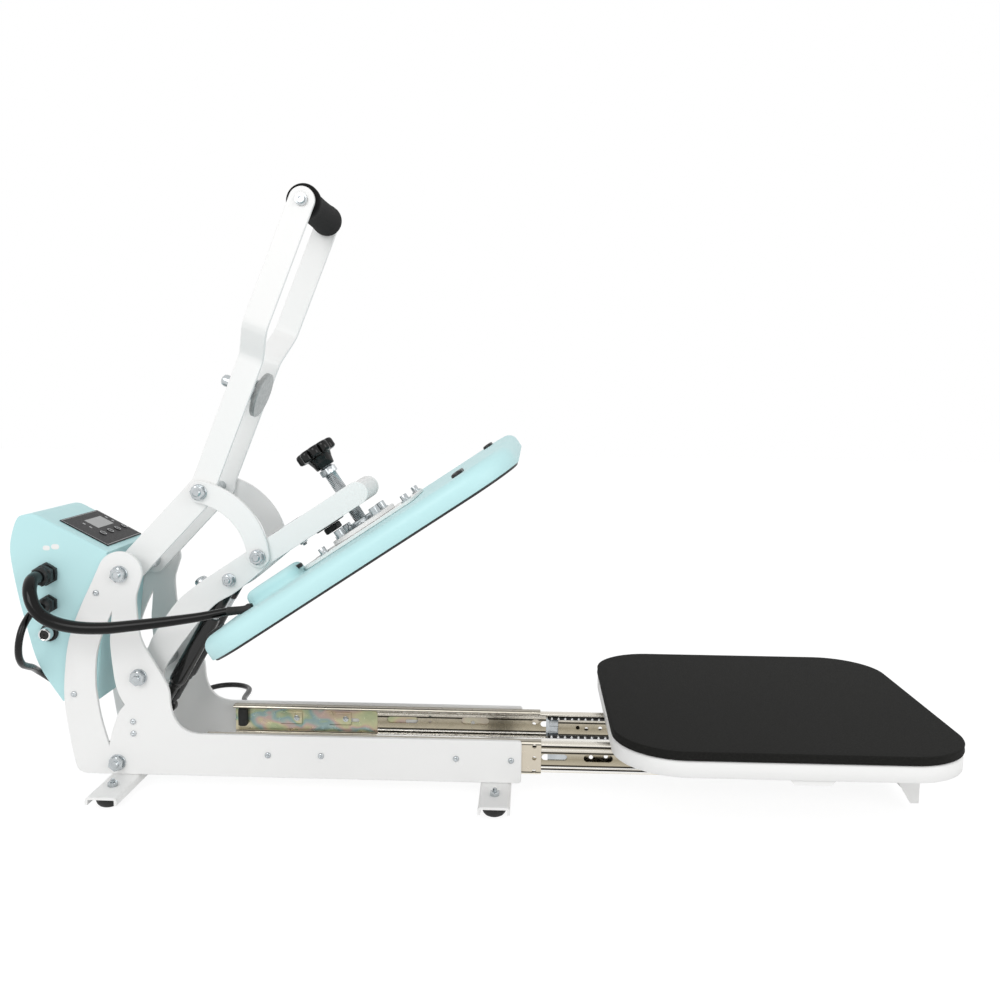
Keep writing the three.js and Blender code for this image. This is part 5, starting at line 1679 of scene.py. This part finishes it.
cage_black = finish("black cage plastic", cage_plastic)
web_face, clip_at = inner_face - slide_wall, inner_face - 2 * slide_wall - slide_play - 0.2
cage_face, cage_heights, cage_from, cage_to = inner_face - slide_deep, (35.2, 58.8), 482, 600
balls, ball_radius, ball_first, ball_apart = 14, 1.9, 487, 8.6
screw_flat = turned_rings([
    (3.6, 0), (3.8, 0.4), (3.6, 1), (2.8, 1.3), (1.6, 1.4), (1.4, 0.8), (0.4, 0.8)], 24)
for side, name in sides:
    tab_section = folded([
        (side * (web_face - 0.1), slide_mid - 6.5), (side * (web_face - 1.2), slide_mid - 5.4),
        (side * (web_face - 1.2), slide_mid + 9.4), (side * (web_face - 0.1), slide_mid + 10.5),
    ], 0.9, 0.6, 3)
    tabs = piece(f"{name}_slide_tabs", lofted([
        along_x(tab_section, x0, x0 + 28) for x0 in (135, 199)
    ]), place(), yellow_zinc, "frame")
    row_of(f"{name}_slide_screws", lofted([screw_flat]),
           [(x, side * (web_face - 1.7), slide_mid + 2) for x in (156, 220)],
           zinc, "frame", place(), (side * pi / 2, 0, 0))
    stop_ends = sorted((side * (web_face - 0.2), side * (web_face - 9.5)))
    stop = piece(f"{name}_slide_stop", lofted([
        box_shell(81, 92, *stop_ends, 38.5, 62.5, 1.4),
    ]), place(), black_rubber, "frame")
    clip = piece(f"{name}_slide_clip", lofted([
        along_x(folded([(side * (clip_at - 6.4), 34.8), (side * (clip_at - 0.8), 37.4),
                        (side * (clip_at - 0.8), 55.6), (side * (clip_at - 5.5), 57.4)],
                       1, 1.6, 4), 480, 503),
        along_x(folded([(side * (clip_at - 0.6), 46.4), (side * (clip_at - 3.6), 47),
                        (side * (clip_at - 3.6), 53.4), (side * (clip_at - 0.6), 54)],
                       0.9, 1, 4), 484, 496),
    ]), place(), zinc, "slide_middles")
    cage_y = sorted((side * (cage_face - 1.2), side * (cage_face + 5)))
    cages = piece(f"{name}_ball_cages", lofted([
        box_shell(cage_from, cage_to, *cage_y, z - 1.5, z + 1.5, 0.3) for z in cage_heights
    ]), place(), cage_black, "slide_middles")
    ball = turned_rings([
        (ball_radius * sin(pi * k / 8), -ball_radius * cos(pi * k / 8)) for k in range(1, 8)
    ], 16)
    row_of(f"{name}_cage_balls", lofted([ball]),
           [(ball_first + ball_apart * k, side * (cage_face - 0.9), z) for k in range(balls)
            for z in cage_heights],
           bright_chrome, "slide_middles", place())


# The tray: a pan of sheet steel with a turned-down rim, coated white, stiffened by a carrier that
# runs on the inner slides and ends in a folded pull.

tray_x, tray_side, tray_corner, tray_low, tray_top = 738.4, 378, 74, 80, 98
pan_levels = [(0, 0.0), (0, 13.6), (0.3, 15.4), (1.2, 16.9), (2.6, 17.8), (4.4, 18)]
pan = piece("tray_tray", lofted([
    [square_ring(tray_side, tray_corner, inset, tray_low + rise, tray_x)
     for inset, rise in reversed([(0.4, 0), *[(i, max(r, 0.4)) for i, r in pan_levels]])]
    + [square_ring(tray_side, tray_corner, inset, tray_low + rise, tray_x)
       for inset, rise in [(2.4, 0), (3, 0.6), (3, 13), (4.2, 15)]],
]), place(), powder_white, "tray", "tray_pan", sharp=50)

# The pad on it: a sheet of black silicone foam, die cut square with rounded corners, its edge
# slightly crushed by the cut.
pad_side, pad_corner = 380, 75
pad_low = tray_top + 0.3


def sponge(material, at):
    """Silicone sponge: charcoal, with a fine open grain in the skin and paler worn flecks."""
    cells = node(material, "TexVoronoi", {"Vector": at, "Scale": 1000 / 1.6}).outputs["Distance"]
    worn = grain(material, at, 70, 3)
    flecks = node(material, "MapRange", {
        "Value": grain(material, at, 1.1, 3, 0.7), "From Min": 0.45, "From Max": 0.75,
        "To Min": 0, "To Max": 1,
    }).outputs["Result"]
    deep = tint(material, worn, "#131312", "#181816")
    mixed = node(material, "Mix", {"Factor": flecks, 6: deep, 7: colour("#20201e")},
                 data_type="RGBA")
    return {
        "Base Color": mixed.outputs[2], "Roughness": 0.9, "IOR": 1.4, "Specular IOR Level": 0.3,
        "Normal": relief(material, cells, 0.3, 0.7),
    }


pad_levels = [
    (6, 0), (1.4, 0), (0.5, 0.5), (0.1, 1.6), (0.5, 4.4), (0.6, 6.6), (0.2, 8.4), (0.6, 9.2),
    (1.6, 9.62), (3.4, 9.7), (9, 9.66), (24, 9.7), (50, 9.7),
]
pad_rings = [square_ring(pad_side, pad_corner, inset, pad_low + rise, tray_x, 24)
             for inset, rise in pad_levels]
pad = piece("tray_cushion", lofted([pad_rings]), place(), finish("black silicone sponge", sponge),
            "tray", "tray_pad", sharp=60)
coat(powder_white, "tray_carrier")


# The floor and the light: a plain pale floor that keeps the shadow, white behind it, and two soft
# lamps at a plain level. To the camera and in gloss the floor and the world are nearly white.

floor_mesh = bpy.data.meshes.new("floor")
floor_mesh.from_pydata([(-6, -6, 0), (6, -6, 0), (6, 6, 0), (-6, 6, 0)], [], [(0, 1, 2, 3)])
floor_paint = bpy.data.materials.new("pale floor")
floor_paint.use_nodes = True
floor_paint.node_tree.nodes.clear()
path = node(floor_paint, "LightPath").outputs
seen = node(floor_paint, "Math", {0: path["Is Camera Ray"], 1: path["Is Glossy Ray"]},
            operation="MAXIMUM")
seen = node(floor_paint, "Math", {0: seen.outputs[0], 1: path["Is Transmission Ray"]},
            operation="MAXIMUM")
matt = node(floor_paint, "BsdfDiffuse", {"Color": colour("#f4f4f4")})
glow = node(floor_paint, "Emission", {"Color": colour("#ffffff"), "Strength": 1.15})
share = node(floor_paint, "Math", {0: seen.outputs[0], 1: 0.78}, operation="MULTIPLY")
both = node(floor_paint, "MixShader", {0: share.outputs[0], 1: matt.outputs[0],
                                       2: glow.outputs[0]})
node(floor_paint, "OutputMaterial", {"Surface": both.outputs[0]})
floor_mesh.materials.append(floor_paint)
floor = bpy.data.objects.new("floor", floor_mesh)
bpy.context.scene.collection.objects.link(floor)

world = bpy.data.worlds.new("studio")
bpy.context.scene.world = world
world.use_nodes = True
world.node_tree.nodes.clear()
path = node(world, "LightPath").outputs
seen = node(world, "Math", {0: path["Is Camera Ray"], 1: path["Is Glossy Ray"]},
            operation="MAXIMUM")
strength = node(world, "MapRange", {"Value": seen.outputs[0], "To Min": 0.68, "To Max": 1})
sky = node(world, "Background", {
    "Color": colour("#ffffff"), "Strength": strength.outputs["Result"],
})
node(world, "OutputWorld", {"Surface": sky.outputs[0]})

for name, at_m, aim_m, size_m, watts in (
    ("key", (-1.1, -2.5, 1.7), (0, 0, 0.25), 1.6, 25),
    ("fill", (1.9, -1.7, 1.1), (0, 0, 0.25), 1.4, 11),
):
    lamp = bpy.data.lights.new(name, "AREA")
    lamp.size, lamp.energy = size_m, watts
    holder = bpy.data.objects.new(name, lamp)
    aim = (Vector(aim_m) - Vector(at_m)).to_track_quat("-Z", "Y")
    holder.matrix_world = Matrix.Translation(at_m) @ aim.to_matrix().to_4x4()
    bpy.context.scene.collection.objects.link(holder)
bpy.context.scene.view_settings.view_transform = "Standard"
